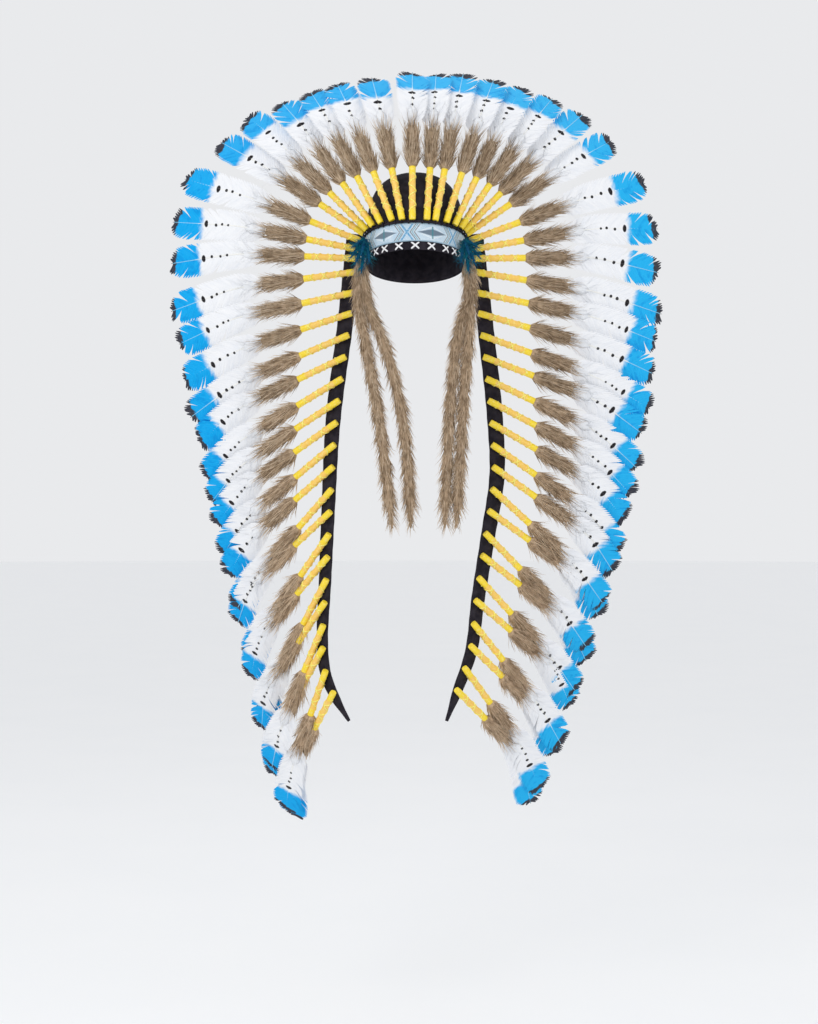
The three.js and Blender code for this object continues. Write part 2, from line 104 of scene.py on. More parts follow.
bandInner = felt["capWall"] + head["seam"]
bandOuter = bandInner + felt["bandWall"]
wovenInner = bandOuter + head["seam"]
wovenOuter = wovenInner + woven["wall"]
bindingOuter = bandInner + felt["bindingDepth"]
quillOffset = felt["capWall"] + head["seam"] + quill["radius"]
crownMatrix = Matrix.Rotation(math.radians(-head["tilt"]), 4, "X")


def roundHead(turn, offset, height):
    x = (head["halfWidth"] + offset) * math.sin(math.radians(turn))
    y = -(head["halfDepth"] + offset) * math.cos(math.radians(turn))
    return Vector((x, y, height))


def direction(side, lean, back):
    flat = math.cos(math.radians(back))
    return Vector((side * math.sin(math.radians(lean)) * flat, math.sin(math.radians(back)),
                   math.cos(math.radians(lean)) * flat))


def uneven(count):
    return math.sin(count * 2.4)


def anglesOf(sides):
    return np.linspace(0, 2 * math.pi, sides, endpoint=False)


def oval(middle, wide, through, angles):
    # A ring round the middle with the two vectors as its half axes
    return np.array(middle) + np.outer(np.cos(angles), wide) + np.outer(np.sin(angles), through)


def newObject(name, data):
    made = bpy.data.objects.new(name, data)
    bpy.context.scene.collection.objects.link(made)
    return made


def addVectors(mesh, name, vectors):
    layer = mesh.attributes.new(name, "FLOAT_VECTOR", "POINT")
    layer.data.foreach_set("vector", np.array([tuple(vector) for vector in vectors], np.float32).ravel())


class Route:
    # A smooth line through a few points, read by its share of the length
    def __init__(self, points, steps=40):
        ends = [2 * points[0] - points[1], *points, 2 * points[-1] - points[-2]]
        samples = []
        for p0, p1, p2, p3 in zip(ends, ends[1:], ends[2:], ends[3:]):
            before, here, after = ((b - a).length ** 0.5 for a, b in ((p0, p1), (p1, p2), (p2, p3)))
            leave = (p1 - p0) / before - (p2 - p0) / (before + here) + (p2 - p1) / here
            arrive = (p2 - p1) / here - (p3 - p1) / (here + after) + (p3 - p2) / after
            for step in range(steps):
                t = step / steps
                samples.append(p1 * (2 * t ** 3 - 3 * t ** 2 + 1) + leave * here * (t ** 3 - 2 * t ** 2 + t)
                               + p2 * (3 * t ** 2 - 2 * t ** 3) + arrive * here * (t ** 3 - t ** 2))
        self.points = np.array([*samples, points[-1]])
        spans = np.linalg.norm(np.diff(self.points, axis=0), axis=1)
        self.lengths = np.concatenate([[0], np.cumsum(spans)])
        self.length = float(self.lengths[-1])

    def at(self, share):
        place = share * self.length
        return Vector([np.interp(place, self.lengths, self.points[:, axis]) for axis in range(3)])

    def along(self, share, step=0.002):
        return (self.at(min(1, share + step)) - self.at(max(0, share - step))).normalized()


class Heap:
    # The points and faces of one piece while it is put together, with named marks on its points
    def __init__(self):
        self.points, self.faces, self.materials, self.marks = [], [], [], {}

    def loft(self, rings, marks=None, material=0, capped=True, closed=False):
        first, sides = len(self.points), len(rings[0])
        spans = len(rings) if closed else len(rings) - 1
        for ring in rings:
            self.points.extend(tuple(point) for point in ring)
        for name, values in (marks or {}).items():
            self.marks.setdefault(name, []).extend(values)
        faces = []
        for i in range(spans):
            here, ahead = first + i * sides, first + (i + 1) % len(rings) * sides
            for j in range(sides):
                k = (j + 1) % sides
                faces.append((here + j, here + k, ahead + k, ahead + j))
        if capped and not closed:
            last = first + (len(rings) - 1) * sides
            faces.append(tuple(range(first + sides - 1, first - 1, -1)))
            faces.append(tuple(range(last, last + sides)))
        self.faces.extend(faces)
        self.materials.extend([material] * len(faces))

    def piece(self, name, materials, smooth=True, welded=False):
        mesh = bpy.data.meshes.new(name)
        mesh.from_pydata(self.points, [], self.faces)
        for mark, values in self.marks.items():
            addVectors(mesh, mark, values)
        mesh.polygons.foreach_set("material_index", self.materials)
        shell = bmesh.new()
        shell.from_mesh(mesh)
        if welded:
            # Rings that shrink to one place become one point there
            bmesh.ops.remove_doubles(shell, verts=shell.verts, dist=0.00001)
            flat = [face for face in shell.faces if face.calc_area() < 1e-14]
            bmesh.ops.delete(shell, geom=flat, context="FACES")
        bmesh.ops.recalc_face_normals(shell, faces=shell.faces)
        shell.to_mesh(mesh)
        shell.free()
        mesh.polygons.foreach_set("use_smooth", [smooth] * len(mesh.polygons))
        for material in materials:
            mesh.materials.append(material)
        return newObject(name, mesh)


class Wire:
    # One output of a node; sums and products on it add the nodes that work them out
    def __init__(self, graph, socket):
        self.graph, self.socket = graph, socket

    def work(self, operation, other=None, turned=False):
        pair = [self] if other is None else [other, self] if turned else [self, other]
        values = dict(enumerate(pair))
        if self.socket.type != "VECTOR":
            return self.graph.add("ShaderNodeMath", {"operation": operation}, values)
        single = np.isscalar(other) or isinstance(other, Wire) and other.socket.type == "VALUE"
        if operation == "MULTIPLY" and single:
            operation, values = "SCALE", {"Vector": self, "Scale": other}
        return self.graph.add("ShaderNodeVectorMath", {"operation": operation}, values)

    def __add__(self, other):
        return self.work("ADD", other)

    def __sub__(self, other):
        return self.work("SUBTRACT", other)

    def __rsub__(self, other):
        return self.work("SUBTRACT", other, True)

    def __mul__(self, other):
        return self.work("MULTIPLY", other)

    def __truediv__(self, other):
        return self.work("DIVIDE", other)

    def __pow__(self, other):
        return self.work("POWER", other)

    def __abs__(self):
        return self.work("ABSOLUTE")

    __radd__, __rmul__ = __add__, __mul__

    def below(self, edge, soft):
        # 1 where the value is below the edge, falling to 0 over the soft width
        return self.graph.add("ShaderNodeMapRange", {"interpolation_type": "SMOOTHSTEP"},
                              {"Value": self, "From Min": edge - soft / 2, "From Max": edge + soft / 2,
                               "To Min": 1.0, "To Max": 0.0})

    def above(self, edge, soft):
        return 1 - self.below(edge, soft)


class Graph:
    # A node tree that grows by one method
    def __init__(self, tree):
        self.tree = tree

    def add(self, kind, settings=None, values=None, out=0):
        node = self.tree.nodes.new(kind)
        for name, value in (settings or {}).items():
            setattr(node, name, value)
        for name, value in (values or {}).items():
            live = [socket for socket in node.inputs if socket.enabled]
            socket = live[name] if isinstance(name, int) else next(s for s in live if s.name == name)
            for part in value if isinstance(value, list) else [value]:
                if isinstance(part, Wire):
                    self.tree.links.new(part.socket, socket)
                else:
                    socket.default_value = (*part, 1) if socket.type == "RGBA" else part
        found = [socket for socket in node.outputs if socket.enabled]
        if not found:
            return None
        return Wire(self, found[out] if isinstance(out, int) else next(s for s in found if s.name == out))

    def mix(self, share, first, second):
        return self.add("ShaderNodeMix", {"data_type": "RGBA"}, {"Factor": share, "A": first, "B": second})

    def noise(self, vector, scale, detail=2.0, roughness=0.5):
        return self.add("ShaderNodeTexNoise", None, {"Vector": vector, "Scale": scale, "Detail": detail,
                                                     "Roughness": roughness})

    def parts(self, vector):
        split = self.add("ShaderNodeSeparateXYZ", None, {"Vector": vector})
        return [Wire(self, socket) for socket in split.socket.node.outputs]

    def vector(self, x, y, z):
        return self.add("ShaderNodeCombineXYZ", None, {"X": x, "Y": y, "Z": z})

    def place(self):
        return self.add("ShaderNodeTexCoord", None, None, "Object")

    def mark(self, name):
        # The three values of a point mark that the piece carries
        return self.parts(self.add("ShaderNodeAttribute", {"attribute_name": name}, None, "Vector"))

    def bump(self, height, strength=0.3, distance=0.0003):
        return self.add("ShaderNodeBump", None,
                        {"Height": height, "Strength": strength, "Distance": distance})

    def wander(self, vector, scale):
        # Noise as a vector about zero
        cloud = self.add("ShaderNodeTexNoise", None,
                         {"Vector": vector, "Scale": scale, "Detail": 1.0}, "Color")
        return self.add("ShaderNodeVectorMath", {"operation": "SUBTRACT"}, {0: cloud, 1: (0.5, 0.5, 0.5)})

    def named(self, name, kind="FLOAT_VECTOR"):
        return self.add("GeometryNodeInputNamedAttribute", {"data_type": kind}, {"Name": name})

    def store(self, geometry, name, value, domain="POINT"):
        return self.add("GeometryNodeStoreNamedAttribute", {"data_type": "FLOAT_VECTOR", "domain": domain},
                        {"Geometry": geometry, "Name": name, "Value": value})

    def share(self):
        return self.add("GeometryNodeSplineParameter", None, None, "Factor")

    def curves(self, mesh, count):
        lines = self.add("GeometryNodeMeshToCurve", None, {"Mesh": mesh})
        return self.add("GeometryNodeResampleCurve", None, {"Curve": lines, "Count": count})

    def circle(self, sides, radius=1.0):
        return self.add("GeometryNodeCurvePrimitiveCircle", None, {"Resolution": sides, "Radius": radius})

    def tube(self, curves, sides, radius):
        return self.add("GeometryNodeCurveToMesh", None,
                        {"Curve": curves, "Profile Curve": self.circle(sides), "Scale": radius,
                         "Fill Caps": True})

    def smooth(self, mesh):
        return self.add("GeometryNodeSetShadeSmooth", None, {"Geometry": mesh, "Shade Smooth": True})

    def towards(self, vector):
        return self.add("FunctionNodeAlignRotationToVector", {"axis": "Z"}, {"Vector": vector})

    def random(self, low, high, seed):
        return self.add("FunctionNodeRandomValue", {"data_type": "FLOAT"},
                        {"Min": low, "Max": high, "Seed": seed})


def finish(name, paint, **settings):
    # A material whose colour, roughness, normal and perhaps metallic come from the paint function
    material = bpy.data.materials.new(name)
    material.use_nodes = True
    graph = Graph(material.node_tree)
    shader = material.node_tree.nodes["Principled BSDF"]
    for socket, value in settings.items():
        shader.inputs[socket.replace("_", " ")].default_value = value
    for socket, value in zip(("Base Color", "Roughness", "Normal", "Metallic"), paint(graph)):
        if isinstance(value, Wire):
            material.node_tree.links.new(value.socket, shader.inputs[socket])
        else:
            shader.inputs[socket].default_value = value
    return material


def paintFelt(graph):
    place = graph.place()
    cloud = graph.noise(place, 90, 3)
    fibre = graph.noise(place, 1500, 4, 0.7)
    lint = graph.noise(place, 700, 2).above(0.7, 0.06)
    colour = graph.mix(cloud.below(0.5, 0.4), (0.013, 0.011, 0.017), (0.03, 0.026, 0.035))
    colour = graph.mix(lint * 0.25, colour, (0.16, 0.15, 0.17))
    return colour, 0.88 + cloud * 0.1, graph.bump(fibre + cloud * 0.5, 0.5, 0.0006)


brocade = {"period": 0.082, "start": -0.013, "slope": 0.021, "line": 0.0009, "barHalf": 0.024,
           "thread": 0.0009, "threads": 34, "stair": 0.0018, "greys": (0.0052, 0.0116), "teal": 0.0082,
           "post": (0.0014, 0.0006), "wing": (0.018, 0.004)}
fullTurn = 6.2832


def paintBrocade(graph):
    along, up, _ = graph.mark("place")
    cell = (along - brocade["start"]) / brocade["period"]
    fromCross = cell.work("PINGPONG", 0.5) * brocade["period"]
    fromBar = brocade["period"] / 2 - fromCross
    stair = fromBar.work("SNAP", brocade["stair"])
    height = abs(up - 0.5)
    slant = fromCross - height * brocade["slope"]
    line = brocade["line"]

    def stroke(offset, wide=1.0):
        return abs(slant - offset).below(line * wide, line * 0.7)

    arms = stroke(0.0, 1.9)
    greys = stroke(brocade["greys"][0]) + stroke(brocade["greys"][1])
    teals = stroke(brocade["teal"], 0.8)
    inside = height.below(0.43, 0.02)
    bar = (height + stair * (0.18 / brocade["barHalf"])).below(0.18, 0.04)
    wing = abs(height + stair * (0.3 / brocade["barHalf"]) - 0.3).below(0.035, 0.03)
    post = fromBar.below(*brocade["post"]) * height.below(0.33, 0.02)
    edge = height.above(0.44, 0.02)
    place = graph.place()
    threadsUp = (along * (fullTurn / brocade["thread"])).work("SINE")
    threadsOn = (up * (fullTurn * brocade["threads"])).work("SINE")
    weave = threadsUp * threadsOn * 0.5 + 0.5
    glitter = graph.noise(place, 900, 2, 0.7)
    patch = graph.noise(place, 60, 2)
    colour = graph.mix(patch.above(0.5, 0.3), (0.4, 0.58, 0.74), (0.54, 0.69, 0.81))
    colour = graph.mix(weave * 0.45, colour, (0.78, 0.87, 0.92))
    colour = graph.mix(arms * inside, colour, (0.1, 0.36, 0.62))
    colour = graph.mix(greys * inside * 0.9, colour, (0.17, 0.17, 0.17))
    colour = graph.mix(teals * inside * 0.8, colour, (0.05, 0.28, 0.33))
    colour = graph.mix(wing * fromBar.below(*brocade["wing"]) * 0.55, colour, (0.9, 0.93, 0.95))
    colour = graph.mix(bar * 0.9, colour, (0.11, 0.16, 0.22))
    colour = graph.mix(post * 0.85, colour, (0.05, 0.24, 0.3))
    colour = graph.mix(glitter.above(0.6, 0.08) * (1 - bar) * 0.7, colour, (0.92, 0.96, 1.0))
    colour = graph.mix(edge * 0.6, colour, (0.24, 0.42, 0.55))
    relief = graph.bump(weave + bar * 0.8 + greys * 0.5 + post * 0.8, 0.5, 0.0004)
    return colour, 0.62 - glitter.above(0.55, 0.1) * 0.3, relief, glitter.above(0.6, 0.1) * 0.35


dots = table("fromTip across length", (1.17, 0.115, 0.062), (1.46, 0.05, 0.045), (1.7, 0.045, 0.042),
             (1.93, 0.04, 0.038))
brush = {"aside": 0.022, "ahead": 0.035, "ragged": 1.3}


def inkDots(graph, across, fromTip, whim, wisp):
    # Dots painted by hand: each sits a little off its place, differently on every feather
    ink = None
    for order, dot in enumerate(dots):
        aside = (whim * 61 + order * 2.1).work("SINE") * brush["aside"]
        ahead = (whim * 83 + order * 1.7).work("SINE") * brush["ahead"]
        wide, long = (across + aside) / dot["across"], (fromTip + ahead - dot["fromTip"]) / dot["length"]
        drop = (wide ** 2 + long ** 2 + (wisp - 0.5) * brush["ragged"]).below(1.0, 0.5)
        ink = drop if ink is None else ink + drop
    return graph.add("ShaderNodeClamp", None, {"Value": ink})


def paintVane(graph):
    across, fromTip, root = graph.mark("place")
    whim, strip, reach = graph.mark("tint")
    place = graph.place()
    barbs = graph.noise(graph.vector(root * 1400, reach * 3, whim * 40), 1.0, 3, 0.6)
    wisp = graph.noise(place, 120, 3)
    grey = graph.noise(graph.vector(root * 160, reach * 1.5, whim * 9), 1.0, 2)
    colour = graph.mix(grey.above(0.5, 0.5) * 0.5, (0.9, 0.905, 0.925), (0.76, 0.79, 0.85))
    colour = graph.mix(barbs.above(0.55, 0.3) * 0.35, colour, (0.93, 0.94, 0.95))
    ragged = fromTip + (wisp - 0.5) * 0.16 + (strip - 0.5) * 0.08
    blue = ragged.below(1.0, 0.2)
    right, _, high = graph.parts(place)
    # Painted light: the tip blue is mixed lighter towards the right side and lighter again on the upper
    # feathers
    tipBlue = graph.mix(right.above(0.0, 0.3), (0.0, 0.38, 0.83), (0.015, 0.44, 0.85))
    tipBlue = graph.mix(high.above(0.2, 0.2) * 0.4, tipBlue, (0.1, 0.5, 0.86))
    tipBlue = graph.mix(barbs.above(0.52, 0.3) * 0.3, tipBlue, (0.05, 0.52, 0.93))
    tipBlue = graph.mix((wisp + strip * 0.4).below(0.52, 0.25) * 0.5, tipBlue, (0.0, 0.26, 0.7))
    colour = graph.mix(blue, colour, tipBlue)
    tipEdge = fromTip + (wisp - 0.5) * 0.16 + (strip - 0.5) * 0.07 - whim * 0.08 - across * 0.24
    burnt = tipEdge.below(0.17, 0.05)
    soot = graph.mix(barbs.above(0.5, 0.3), (0.018, 0.014, 0.014), (0.08, 0.055, 0.05))
    colour = graph.mix(burnt * 0.96, colour, soot)
    colour = graph.mix(inkDots(graph, across, fromTip, whim, wisp), colour, (0.02, 0.018, 0.02))
    return colour, 0.62 + barbs * 0.2, graph.bump(barbs, 0.35, 0.0003)


def paintShaft(graph):
    across, fromTip, root = graph.mark("place")
    whim = graph.mark("tint")[0]
    wisp = graph.noise(graph.place(), 120, 3)
    grain = graph.noise(graph.vector(root * 90, 0.0, 0.0), 1.0, 2)
    blue = (fromTip + grain * 0.2).below(1.05, 0.25)
    bone = graph.mix(grain, (0.84, 0.83, 0.78), (0.93, 0.93, 0.91))
    tipBlue = graph.mix(grain, (0.16, 0.56, 0.86), (0.34, 0.7, 0.92))
    colour = graph.mix(blue, bone, tipBlue)
    colour = graph.mix(inkDots(graph, across, fromTip, whim, wisp), colour, (0.02, 0.018, 0.02))
    colour = graph.mix(fromTip.below(0.1, 0.06), colour, (0.04, 0.03, 0.03))
    return colour, 0.4, graph.bump(grain, 0.2, 0.0003)


def paintFur(graph):
    tint, along, tone = graph.mark("hair")
    place = graph.place()
    clump = graph.noise(place, 130, 3)
    mixed = tint * 0.55 + clump * 0.6
    dark = graph.mix(tone, (0.24, 0.165, 0.1), (0.33, 0.23, 0.145))
    middle = graph.mix(tone, (0.48, 0.355, 0.235), (0.58, 0.42, 0.28))
    light = graph.mix(tone, (0.7, 0.56, 0.41), (0.8, 0.63, 0.45))
    colour = graph.mix(mixed.above(0.42, 0.22), dark, middle)
    colour = graph.mix(mixed.above(0.66, 0.2), colour, light)
    colour = graph.mix(along.above(0.75, 0.4) * 0.3, colour, light)
    streak = graph.noise(graph.vector(tint * 30, along * 4, 0.0), 1.0, 2)
    return colour, 0.66 + streak * 0.25, graph.bump(streak)


def paintDown(graph):
    tint, along, _ = graph.mark("hair")
    cloud = graph.noise(graph.place(), 160, 2)
    colour = graph.mix((tint * 0.5 + cloud * 0.5).above(0.48, 0.25), (0.0, 0.07, 0.17), (0.0, 0.2, 0.27))
    colour = graph.mix(along.above(0.7, 0.4) * 0.5, colour, (0.02, 0.36, 0.42))
    return colour, 0.6 + cloud * 0.3, graph.bump(cloud, 0.2, 0.0003)


def paintFluff(graph):
    tint, along, _ = graph.mark("hair")
    cloud = graph.noise(graph.place(), 200, 2)
    colour = graph.mix(tint * 0.6 + cloud * 0.4, (0.72, 0.74, 0.79), (0.93, 0.94, 0.95))
    return colour, 0.8 + along * 0.1, graph.bump(cloud, 0.2, 0.0003)


def paintWrap(graph):
    # Yellow floss at both ends, a paler peach stretch between them, all wound in fine turns
    along, _, whim = graph.mark("wind")
    middle = abs(along - 0.5 + (whim - 0.5) * 0.06).below(0.3, 0.05)
    thread = graph.noise(graph.vector(along * 150, whim * 20, 0.0), 1.0, 2, 0.6)
    sheen = graph.noise(graph.place(), 300, 2)
    yellow = graph.mix(thread, (0.93, 0.62, 0.008), (1.0, 0.82, 0.05))
    peach = graph.mix(thread, (0.93, 0.49, 0.07), (1.0, 0.7, 0.18))
    colour = graph.mix(middle * 0.9, yellow, peach)
    colour = graph.mix(sheen.above(0.58, 0.1) * 0.25, colour, (1.0, 0.9, 0.45))
    return colour, 0.3 + thread * 0.25, graph.bump(thread, 0.45, 0.0004)


def paintTinsel(graph):
    flake = graph.noise(graph.place(), 800, 2, 0.7)
    colour = graph.mix(flake.above(0.5, 0.25), (1.0, 0.8, 0.03), (1.0, 0.96, 0.38))
    return colour, 0.22 + flake * 0.3, graph.bump(flake, 0.6, 0.0005), 0.25 + flake * 0.25


def paintRibbon(graph):
    grain = graph.noise(graph.place(), 1200, 3, 0.6)
    colour = graph.mix(grain, (0.8, 0.8, 0.82), (0.96, 0.96, 0.97))
    return colour, 0.55 + grain * 0.2, graph.bump(grain)


def paintFloor(graph):
    speck = graph.noise(graph.place(), 3, 3)
    colour = graph.mix(speck, (0.93, 0.94, 0.95), (0.96, 0.965, 0.97))
    return colour, 0.75 + speck * 0.1


feltBlack = finish("feltBlack", paintFelt, Specular_IOR_Level=0.2)
blueBrocade = finish("blueBrocade", paintBrocade)
featherVane = finish("featherVane", paintVane, Specular_IOR_Level=0.12)
featherShaft = finish("featherShaft", paintShaft)
taupeFur = finish("taupeFur", paintFur, Specular_IOR_Level=0.25)
tealDown = finish("tealDown", paintDown, Specular_IOR_Level=0.2)
whiteFluff = finish("whiteFluff", paintFluff)
yellowWrap = finish("yellowWrap", paintWrap)
goldTinsel = finish("goldTinsel", paintTinsel)
whiteRibbon = finish("whiteRibbon", paintRibbon)
paleFloor = finish("paleFloor", paintFloor)
print("finishes ready")


# The trailers' lines and the feathers' places, worked out as the solids are

def trailerRoute(sideName):
    side = sideSigns[sideName]
    return Route([Vector((side * row["out"] * trailer["length"], 0, -row["drop"] * trailer["length"]))
                  for row in trailerLines[sideName]])


def trailerMatrix(sideName):
    row = trailerLines[sideName][1]
    toBinding = row["out"] / row["drop"] * trailer["rise"]
    out = head["halfWidth"] + bindingOuter + head["seam"] + trailer["width"] / 2 - toBinding
    place = crownMatrix @ Vector((sideSigns[sideName] * out, 0, felt["bandHeight"]))
    place.z += trailer["rise"]
    return Matrix.Translation(place) @ Matrix.Rotation(math.radians(-trailer["forward"]), 4, "X")


def trailerFrame(sideName, route, share):
    side = sideSigns[sideName]
    point, along = route.at(share), route.along(share)
    drop = -point.z / trailer["length"]
    turn = math.radians(lookUp(trailerLines[sideName], "drop", drop, "turn"))
    outward = Vector((-along.z, 0, along.x)) * side
    wide = outward * math.cos(turn) + rearAxis * math.sin(turn)
    face = along.cross(wide) * side
    if face.y > 0:
        face.negate()
    width = lookUp(trailerLines[sideName], "drop", drop, "width") * trailer["width"]
    return {"point": point, "along": along, "outward": outward, "wide": wide, "face": face, "width": width}


def quillRise(turn, first):
    outward = Vector((math.sin(math.radians(turn)), -math.cos(math.radians(turn)), 0))
    downhill = Vector((first.x, first.y, 0)).normalized()
    facing = max(0, outward.dot(downhill))
    onward, beside = facing * first.z, math.sqrt(1 - facing * facing)
    size = math.hypot(onward, beside)
    edge = min(bindingOuter - quillOffset, quill["radius"] * onward)
    reach = (edge * onward + beside * math.sqrt((quill["radius"] * size) ** 2 - edge * edge)) / size ** 2
    return reach * math.sin(math.acos(first.z)) + head["seam"]


def crownFeather(sideName, count):
    side, row = sideSigns[sideName], crownTable[sideName][count - 1]
    first = direction(side, row["lean"], row["back"])
    last = direction(side, row["lean"], lookUp(crownShape, "count", count, "curl"))
    start = roundHead(side * row["turn"], quillOffset, felt["bandHeight"])
    start.z += quillRise(side * row["turn"], first)
    across = direction(side, row["lean"] + 90, 0)
    twist = side * lookUp(crownShape, "count", count, "twist")
    return placedFeather(sideName, count, crownMatrix, start, first, last, across, twist, row["reach"])


def trailerFeather(sideName, count, route, matrix):
    side = sideSigns[sideName]
    shape = {column: lookUp(trailerShape[sideName], "count", count, column)
             for column in ("at", "lean", "hang", "curl", "reach", "twist")}
    spotOn = trailerFrame(sideName, route, shape["at"])
    paired = count >= firstPaired
    towards = pairLean if (count - firstPaired) % 2 == 0 else -pairLean
    seen = direction(side, shape["lean"] + (towards if paired else uneven(count)), 0)
    turned = spotOn["wide"].dot(spotOn["outward"])
    first = spotOn["wide"] * (seen.dot(spotOn["outward"]) / turned)
    first = (first + spotOn["along"] * seen.dot(spotOn["along"])).normalized()
    last = direction(side, shape["hang"] - (towards if paired else 0), shape["curl"])
    start = spotOn["point"] + spotOn["wide"] * (quill["inset"] - trailer["width"] / 2)
    start += spotOn["face"] * (trailer["thickness"] / 2 + head["seam"] + quill["radius"])
    across = spotOn["face"].cross(first) * side
    return placedFeather(sideName, count, matrix, start, first, last, across, side * shape["twist"],
                         shape["reach"])


def placedFeather(sideName, count, matrix, start, first, last, across, twist, reach):
    # Stations every few millimetres: place, direction, width direction and thickness direction
    spread = Matrix.Rotation(math.radians(twist), 3, first) @ across
    length = quill["length"] + furLength + vane["length"] * reach * (1 + 0.03 * uneven(count))
    bendStart = quill["length"] + furLength
    step, turnOnly = 0.003, matrix.to_3x3()
    point, stations, distances = start.copy(), [], []
    for i in range(int(length / step) + 3):
        distance = i * step
        t = min(max((distance - bendStart) / vane["bend"], 0), 1)
        along = first.lerp(last, t * t * (3 - 2 * t)).normalized()
        wide = (spread - along * spread.dot(along)).normalized()
        stations.append([matrix @ point, turnOnly @ along, turnOnly @ wide, turnOnly @ along.cross(wide)])
        distances.append(distance)
        point = point + along * step
    return {"count": count, "length": length, "distances": np.array(distances),
            "stations": np.array(stations), "rear": np.array(turnOnly @ rearAxis),
            "random": np.random.default_rng(count * 2 + (sideName == "right"))}


def along(feather, distances):
    # The four vectors of a feather's line at each distance, as arrays
    found = [[np.interp(distances, feather["distances"], feather["stations"][:, part, axis])
              for axis in range(3)] for part in range(4)]
    return [np.array(part).T for part in found]


feathers = {}
for sideName in sideSigns:
    route, matrix = trailerRoute(sideName), trailerMatrix(sideName)
    feathers[sideName] = [crownFeather(sideName, count) for count in range(1, firstOnTrailer)]
    feathers[sideName] += [trailerFeather(sideName, count, route, matrix)
                           for count in range(firstOnTrailer, lastFeather + 1)]
print("feathers placed:", sum(map(len, feathers.values())))


# One vane: a shaft, and bands of barbs on both sides of it that part here and there

barb = {"bands": 30, "steps": 6, "samples": 25, "first": -0.05, "spread": 1.03, "sweep": 0.85, "curl": 1.35,
        "ahead": 0.12, "thick": 0.00035, "overlap": 1.16, "blueLength": 0.051, "ripple": 0.0009,
        "round": 0.05, "ragged": 0.012, "wave": 0.011, "crossWave": 0.006, "blueSpread": (0.9, 1.12),
        "slant": 0.06}
split = {"count": 3, "push": 0.0042, "reach": 0.011, "first": 0.3, "last": 0.97, "from": 0.1}
vaneProfile = table("along width", (-0.06, 0.3), (0.04, 0.72), (0.2, 0.93), (0.5, 1), (0.8, 1.03),
                    (0.92, 0.93), (1, 0.66))
shaft = {"base": 0.0017, "tip": 0.0005, "sides": 6, "steps": 12, "sunk": 0.012, "reach": 0.985}


def growVane(heap, feather):
    random = feather["random"]
    start = quill["length"] + furLength
    length = feather["length"] - start
    blue = barb["blueLength"] * random.uniform(*barb["blueSpread"])
    whim, slant = random.random(), random.uniform(-barb["slant"], barb["slant"])
    spacing = length * barb["spread"] / barb["bands"]
    whole = {"start": start, "length": length, "blue": blue, "whim": whim, "slant": slant,
             "phase": random.uniform(0, 6.28, 3), "spacing": spacing}
    for hand in (-1, 1):
        whole["splits"] = random.uniform(split["first"], split["last"], split["count"]) * length
        whole["pushes"] = split["push"] * random.uniform(0.4, 1.3, split["count"])
        for band in range(barb["bands"]):
            growBarbs(heap, feather, whole, hand, barb["first"] * length + band * spacing)
    distances = np.linspace(start - shaft["sunk"], start + length * shaft["reach"], shaft["steps"])
    points, _, wides, throughs = along(feather, distances)
    radii = np.linspace(shaft["base"], shaft["tip"], shaft["steps"])
    angles = anglesOf(shaft["sides"])
    rings = [oval(point, wide * radius, through * radius, angles)
             for point, radius, wide, through in zip(points, radii, wides, throughs)]
    places = [(0, (length - (distance - start)) / blue, distance) for distance in distances for _ in angles]
    heap.loft(rings, {"place": places, "tint": [(whim, 0.5, 0)] * len(places)}, material=1)


def growBarbs(heap, feather, whole, hand, root):
    # A narrow band of barbs from its root on the shaft, cut where the vane's outline ends
    random, length, blue = feather["random"], whole["length"], whole["blue"]
    strip = random.random()
    t = np.linspace(0, 1, barb["samples"])
    widest = vane["halfWidth"] * lookUp(vaneProfile, "along", min(root / length + barb["ahead"], 1), "width")
    push = sum(np.sign(root - at) * amount * math.exp(-abs(root - at) / split["reach"])
               for at, amount in zip(whole["splits"], whole["pushes"])) * (root > split["from"] * length)
    rows = root + barb["sweep"] * widest * t ** barb["curl"] + push * t ** 2
    lateral = widest * t * (1 + 0.03 * (strip - 0.5))
    limit = vane["halfWidth"] * lookUp(vaneProfile, "along", rows / length, "width")
    end = length * (1 + whole["slant"] * hand * lateral / vane["halfWidth"]
                    - barb["round"] * (lateral / vane["halfWidth"]) ** 2 - barb["ragged"] * random.random())
    kept = int(np.argmin((lateral <= limit * 1.02) & (rows <= end))) or len(t)
    if kept < 3:
        return
    share = np.linspace(0, t[kept - 1], barb["steps"])
    rows, lateral = np.interp(share, t, rows), np.interp(share, t, lateral)
    points, alongs, wides, throughs = along(feather, whole["start"] + rows)
    ripple = barb["ripple"] * (np.sin(rows / barb["wave"] + whole["phase"][0]) * share
                               + 0.7 * np.sin(lateral / barb["crossWave"] + whole["phase"][1])
                               + 1.2 * (strip - 0.5) * share ** 2)
    camber = vane["camber"] * (lateral / vane["halfWidth"]) ** 2
    middle = points + wides * (hand * lateral)[:, None] + throughs * ripple[:, None]
    middle += np.outer(camber, feather["rear"])
    half = whole["spacing"] / 2 * barb["overlap"] * np.interp(share / share[-1], [0, 0.8, 1], [1, 0.96, 0.3])
    thick = barb["thick"] * np.interp(share / share[-1], [0, 1], [1, 0.5])
    rings, places, tints = [], [], []
    for i in range(barb["steps"]):
        forward, up = alongs[i] * half[i], throughs[i] * thick[i]
        rings.append([middle[i] + forward, middle[i] + up, middle[i] - forward, middle[i] - up])
        for offset in (half[i], 0, -half[i], 0):
            places.append((hand * lateral[i] / blue, (length - rows[i] - offset) / blue, root + offset))
            tints.append((whole["whim"], strip, share[i]))
    heap.loft(rings, {"place": places, "tint": tints})


def featherNodes(sideName):
    names = [f"feather_{sideName}_{count:02d}" for count in range(1, firstPaired)]
    pairs = range(firstPaired, lastFeather, 2)
    return names + [f"feathers_{sideName}_{count}_{count + 1}" for count in pairs]


def settle(piece, slot, *nodes):
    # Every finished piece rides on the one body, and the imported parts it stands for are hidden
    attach(piece, "root")
    if nodes:
        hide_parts(*nodes)
    return piece


